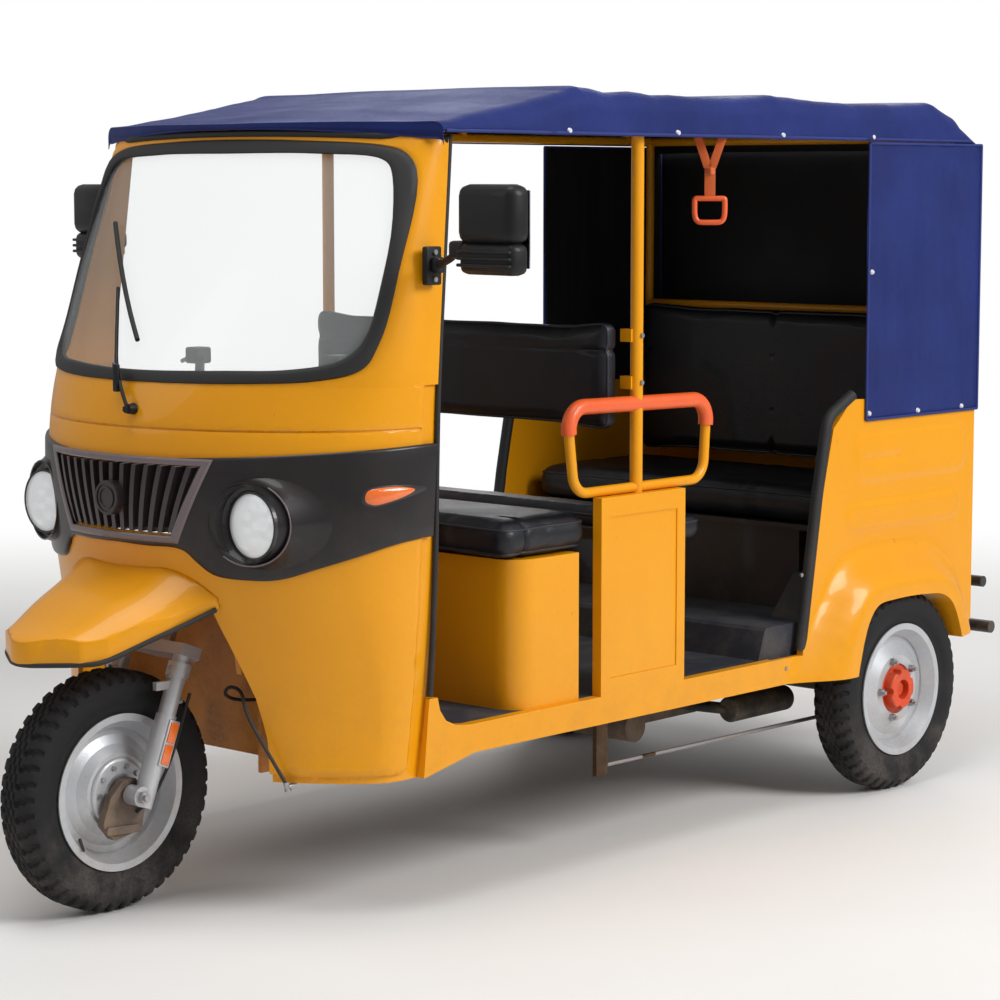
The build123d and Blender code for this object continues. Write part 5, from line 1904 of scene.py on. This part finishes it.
# ------------------------------------------------------------------- cab trim
@dataclass
class CabTrim:
    """Mirrors, strap handles, fixings and the instrument pod."""

    # width and station of the housing's middle, its turn in degrees and how wide it is
    near: tuple[float, ...] = (0.774, 0.402, -8.0, 0.180)
    far: tuple[float, ...] = (-0.784, 0.650, -14.0, 0.184)
    height: float = 1.482
    depth: float = 0.062
    tall: float = 0.186
    # webbing of a strap: its ends in the ring's plane and its width
    webs: tuple[tuple[Pair, Pair, float], ...] = (
        ((-0.030, 1.688), (-0.004, 1.612), 0.021), ((0.030, 1.688), (0.004, 1.612), 0.021),
        ((0.0, 1.618), (0.0, 1.542), 0.026),
    )
    # one half of the hand ring, from the middle of its top down
    ring: Pairs = (
        (0.0, 1.541), (0.0252, 1.541), (0.036, 1.541), (0.036, 1.531), (0.036, 1.499), (0.0288, 1.485),
        (0.0144, 1.484),
    )

    def build(self, bench: Bench) -> None:
        """Make every trim piece."""
        self._mirrors(bench)
        self._straps(bench)
        self._panel_fixings(bench)
        self._controls(bench)

    def _mirrors(self, bench: Bench) -> None:
        """Make the housings with their ribbed bands, the glasses, arms and brackets."""
        shell, glass, bolts = bmesh.new(), bmesh.new(), bmesh.new()
        arms = []
        for (x, y, yaw, wide), side in ((self.near, 1), (self.far, -1)):
            turn = Matrix.Translation(at(x, y, self.height)) @ Matrix.Rotation(math.radians(yaw), 4, "Z")
            w, d, t = wide / 2, self.depth / 2, self.tall / 2
            inner = -side * w
            solids = [
                (shell, (-w, -d, -0.030), (w, d, t), 0.024),
                (shell, (-w + 0.004, -d + 0.004, -t), (w - 0.002, d - 0.004, -0.026), 0.018),
                (glass, (-w + 0.010, d - 0.001, -t + 0.014), (w - 0.010, d + 0.0015, t - 0.012), 0.001),
            ]
            for k in range(3):
                z = -t + 0.016 + 0.014 * k
                solids.append((shell, (-w + 0.006, -d - 0.001, z), (w - 0.004, -d + 0.010, z + 0.007), 0.003))
            wing = sorted((inner + side * 0.01, inner - side * 0.038))
            solids.append((shell, (wing[0], -d + 0.012, -0.062), (wing[1], d - 0.014, -0.024), 0.009))
            for bm, low, high, r in solids:
                placed(bm, Vector(low), Vector(high), r, turn)
            joint = turn @ Vector((inner - side * 0.030, 0.0, -0.048))
            start = at(side * 0.566, 0.450, 1.405)
            arms.append(
                [
                    start, start.lerp(joint, 0.2) + Vector((0, 0, -0.004)),
                    joint.lerp(start, 0.15) + Vector((0, 0, -0.006)), joint,
                ]
            )
            slab(shell, at(side * 0.553 - 0.008, 0.428, 1.362), at(side * 0.553 + 0.008, 0.474, 1.444), 0.004)
            slab(shell, at(side * 0.572 - 0.012, 0.438, 1.388), at(side * 0.572 + 0.012, 0.462, 1.422), 0.006)
            for z in (1.374, 1.432):
                disc(bolts, at(side * 0.563, 0.451, z), Vector((side, 0, 0)), 0.006, 0.006, 6)
        bench.piece("mirror_housings", shell, "mirror_plastic", replaces=["mirrors"])
        bench.piece("mirror_glasses", glass, "mirror_glass")
        bench.tube("mirror_arms", arms, 0.0085, "mirror_plastic")
        bench.piece("mirror_bolts", bolts, "zinc_steel", smooth=False)

    def _straps(self, bench: Bench) -> None:
        """Hang a hand ring by sewn webbing from each side rail."""
        webs, rings = bmesh.new(), []
        for side in (-1, 1):
            across = Vector((0.789 * side, 0.615, 0.0))
            base = at(side * 0.5135, 1.4545, 0.0)

            def spot(along: float, z: float) -> Vector:
                """Place in the plane of the ring."""
                return base + across * along + Vector((0, 0, z))

            for a, b, wide in self.webs:
                start, end = spot(*a), spot(*b)
                run = end - start
                frame = Matrix(
                    (across, across.cross(run.normalized()), run.normalized())
                ).transposed().to_4x4()
                middle = Matrix.Translation((start + end) / 2) @ frame
                half = Vector((wide / 2, 0.0016, run.length / 2))
                placed(webs, -half, half, 0.001, middle)
            knot, half = spot(0.0, 1.606), Vector((0.010, 0.010, 0.008))
            slab(webs, knot - half, knot + half, 0.003)
            rings.append([spot(*p) for p in [*self.ring, *((-x, z) for x, z in reversed(self.ring[1:]))]])
        bench.piece("strap_webs", webs, "strap_web", replaces=["strap_handles"])
        bench.tube("strap_rings", rings, 0.0068, "grip_orange", closed=True)

    def _panel_fixings(self, bench: Bench) -> None:
        """Make the bolts of the poles and the quarter panels."""
        bm = bmesh.new()
        for side in (-1, 1):
            for z in (1.115, 1.225):
                disc(bm, at(side * 0.529, 1.184, z), Vector((side, 0, 0)), 0.006, 0.006, 6)
            for y, z in ((1.74, 0.37), (1.80, 0.60), (2.52, 0.43)):
                disc(bm, at(side * 0.5455, y, z), Vector((side, 0, 0)), 0.0055, 0.004, 6)
        bench.piece("panel_bolts", bm, "zinc_steel", smooth=False)

    def _controls(self, bench: Bench) -> None:
        """Make the instrument pod and its face."""
        bm = bmesh.new()
        c = at(0.0, 0.250, 1.112)
        lathe(
            bm, [(-0.02, 0.048), (0.012, 0.050), (0.020, 0.046), (0.016, 0.040), (-0.02, 0.040)], c,
            Vector((0, 1, 0.35)), 40,
        )
        bench.piece("gauge_pod", bm, "charcoal_trim")
        bm = bmesh.new()
        disc(bm, c + Vector((0, 0.006, 0.002)), Vector((0, 1, 0.35)), 0.041, 0.012, 40)
        bench.piece("gauge_face", bm, "plate_white")


# ------------------------------------------------------------------ pressings
@dataclass(frozen=True)
class Pressings:
    """Smooth painted pressings in place of the faceted shells."""

    lamp: Pair = (0.344, 0.863)
    lamp_hole: float = 0.0915
    # outer plane and thickness of the quarter panels, and their outline of stations and heights
    panel: float = 0.545
    skin: float = 0.012
    outline: Pairs = (
        (1.6932, 0.396), (1.6932, 0.330), (2.120, 0.330), (2.540, 0.392), (2.580, 0.400),
        (2.580, 1.002), (2.010, 1.030), (1.930, 0.960), (1.884, 0.783), (1.800, 0.396),
    )
    span_y: Pair = (1.685, 2.590)
    span_z: Pair = (0.322, 1.036)
    arch: Pairs = (
        (1.932, 0.250), (1.986, 0.447), (2.032, 0.502), (2.110, 0.512), (2.260, 0.510), (2.338, 0.499),
        (2.384, 0.467), (2.440, 0.330), (2.444, 0.250),
    )
    # depth of the swelling, width of its flat lip, its reach, and its extra reach low at the front
    depth: float = 0.074
    lip: float = 0.030
    reach: float = 0.140
    reach_front: float = 0.080
    # pressed fields: stations, heights, corner radius and rise
    fields: tuple[tuple[float, ...], ...] = (
        (2.030, 2.535, 0.815, 0.938, 0.045, 0.0045), (1.995, 2.500, 0.690, 0.757, 0.028, 0.0045),
        (2.070, 2.230, 0.866, 0.878, 0.006, -0.004),
    )
    soft: float = 0.012

    def _copy(self, frame: dict, node: str) -> Mesh:
        """Return a merged copy of a node's mesh."""
        bm = bmesh.new()
        bm.from_mesh(frame["nodes"][node].data)
        bmesh.ops.remove_doubles(bm, verts=bm.verts, dist=0.00002)
        return bm

    def _publish(self, bench: Bench, bm: Mesh, name: str, node: str, angle: float) -> Piece:
        """Make the copy a piece with soft shading."""
        obj = bench.piece(name, bm, "body_paint", replaces=[node])
        obj.data.set_sharp_from_angle(angle=math.radians(angle))
        even = obj.modifiers.new("Even", "WEIGHTED_NORMAL")
        even.keep_sharp, even.weight = True, 50
        return obj

    def build(self, frame: dict, bench: Bench) -> None:
        """Make the beak, the cowl with its lamp holes and the quarter panels.

        Args:
            bench: Where pieces are made.
        """
        self._publish(bench, self._copy(frame, "front_fender"), "beak_shell", "front_fender", 52)
        cowl = self._publish(bench, self._copy(frame, "front_cowl"), "cowl_shell", "front_cowl", 32)
        tool = bmesh.new()
        for side in (-1, 1):
            middle = at(side * self.lamp[0], 0.15, self.lamp[1])
            disc(tool, middle, AHEAD, self.lamp_hole, 0.34, 56)
        bench.cut(cowl, tool)
        for side, word in ((1, "left"), (-1, "right")):
            self._quarter(bench, side, word)

    def _swell(self, y: float, z: float) -> float:
        """How far the pressed panel stands off its plane at a station and a height."""
        spot = Vector((y, z))
        line = smooth_line(self.arch, steps=5)
        gap = 1.0
        for a, b in zip(line, line[1:]):
            foot, share = geometry.intersect_point_line(spot, a, b)
            gap = min(gap, (spot - (foot.to_2d() if 0 <= share <= 1 else a)).length)
        low_front = min(max((0.52 - z) / 0.18, 0.0), 1.0) if y < 2.15 else 0.0
        reach = self.reach + self.reach_front * low_front
        share = min(max((reach - gap) / (reach - self.lip), 0.0), 1.0)
        rise = self.depth * share * share * (3 - 2 * share)
        for y0, y1, z0, z1, corner, high in self.fields:
            dy = max(y0 + corner - y, y - (y1 - corner), 0.0)
            dz = max(z0 + corner - z, z - (z1 - corner), 0.0)
            inside = corner - math.hypot(dy, dz)
            t = min(max(inside / self.soft + 0.5, 0.0), 1.0)
            rise += high * t * t * (3 - 2 * t)
        return rise

    def _quarter(self, bench: Bench, side: int, word: str) -> None:
        """Press one quarter panel with its wheel arch and raised fields."""
        (y0, y1), (z0, z1) = self.span_y, self.span_z
        across, up = 118, 92
        rises = [
            [self._swell(y0 + (y1 - y0) * i / across, z0 + (z1 - z0) * k / up) for k in range(up + 1)]
            for i in range(across + 1)
        ]
        bm = bmesh.new()
        front = bmesh.ops.create_grid(bm, x_segments=across, y_segments=up, size=1.0)["verts"]
        for v in front:
            i, k = round((v.co.x + 1) / 2 * across), round((v.co.y + 1) / 2 * up)
            v.co = at(side * (self.panel + rises[i][k]), y0 + (y1 - y0) * i / across, z0 + (z1 - z0) * k / up)
        back = bmesh.ops.extrude_face_region(bm, geom=bm.faces[:])["geom"]
        for v in back:
            if isinstance(v, bmesh.types.BMVert):
                v.co.x = side * (self.panel - self.skin)
        obj = bench.piece(f"quarter_skin_{word}", bm, "body_paint", replaces=[f"quarter_panel_{word}"])
        push = Vector((side * 0.25, 0, 0))
        bench.cut(obj, prism([at(side * 0.45, *p) for p in self.outline], push), "INTERSECT")
        bench.cut(obj, prism([at(side * 0.45, *p) for p in smooth_line(self.arch, steps=5)], push))


# ----------------------------------------------------------------------- main
def dress_nodes(frame: dict, paints: Paintbox) -> None:
    """Give every carried-over node the finish of its slot.

    Args:
        paints: Where finishes come from.
    """
    for part in frame["record"]["subparts"]:
        obj = frame["nodes"][part["node"]]
        slot = "linkage_steel" if part["node"] == "brake_linkage" else part["material_slot"]
        obj.data.materials.clear()
        obj.data.materials.append(paints[slot if slot in paints.recipes else "body_paint"])


def main() -> None:
    """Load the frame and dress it."""
    logging.basicConfig(level=logging.INFO, format="%(name)s: %(message)s")
    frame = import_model()
    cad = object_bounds()
    Camera().build()
    paints = Paintbox()
    bench = Bench(paints)
    under = Underparts()
    under.cord(bench)
    dress_nodes(frame, paints)
    Studio().build()
    Canvas().build(bench)
    Seats().build(bench)
    Wheels().build(bench)
    Pressings().build(frame, bench)
    Screen().build(bench)
    Fascia().build(bench)
    Front().build(bench)
    under.build(bench)
    CabTrim().build(bench)
    boxes = {"cad": cad, "visual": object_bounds()}
    {k: [[float(c) for c in corner] for corner in v] for k, v in boxes.items()}


if __name__ == "__main__":
    main()
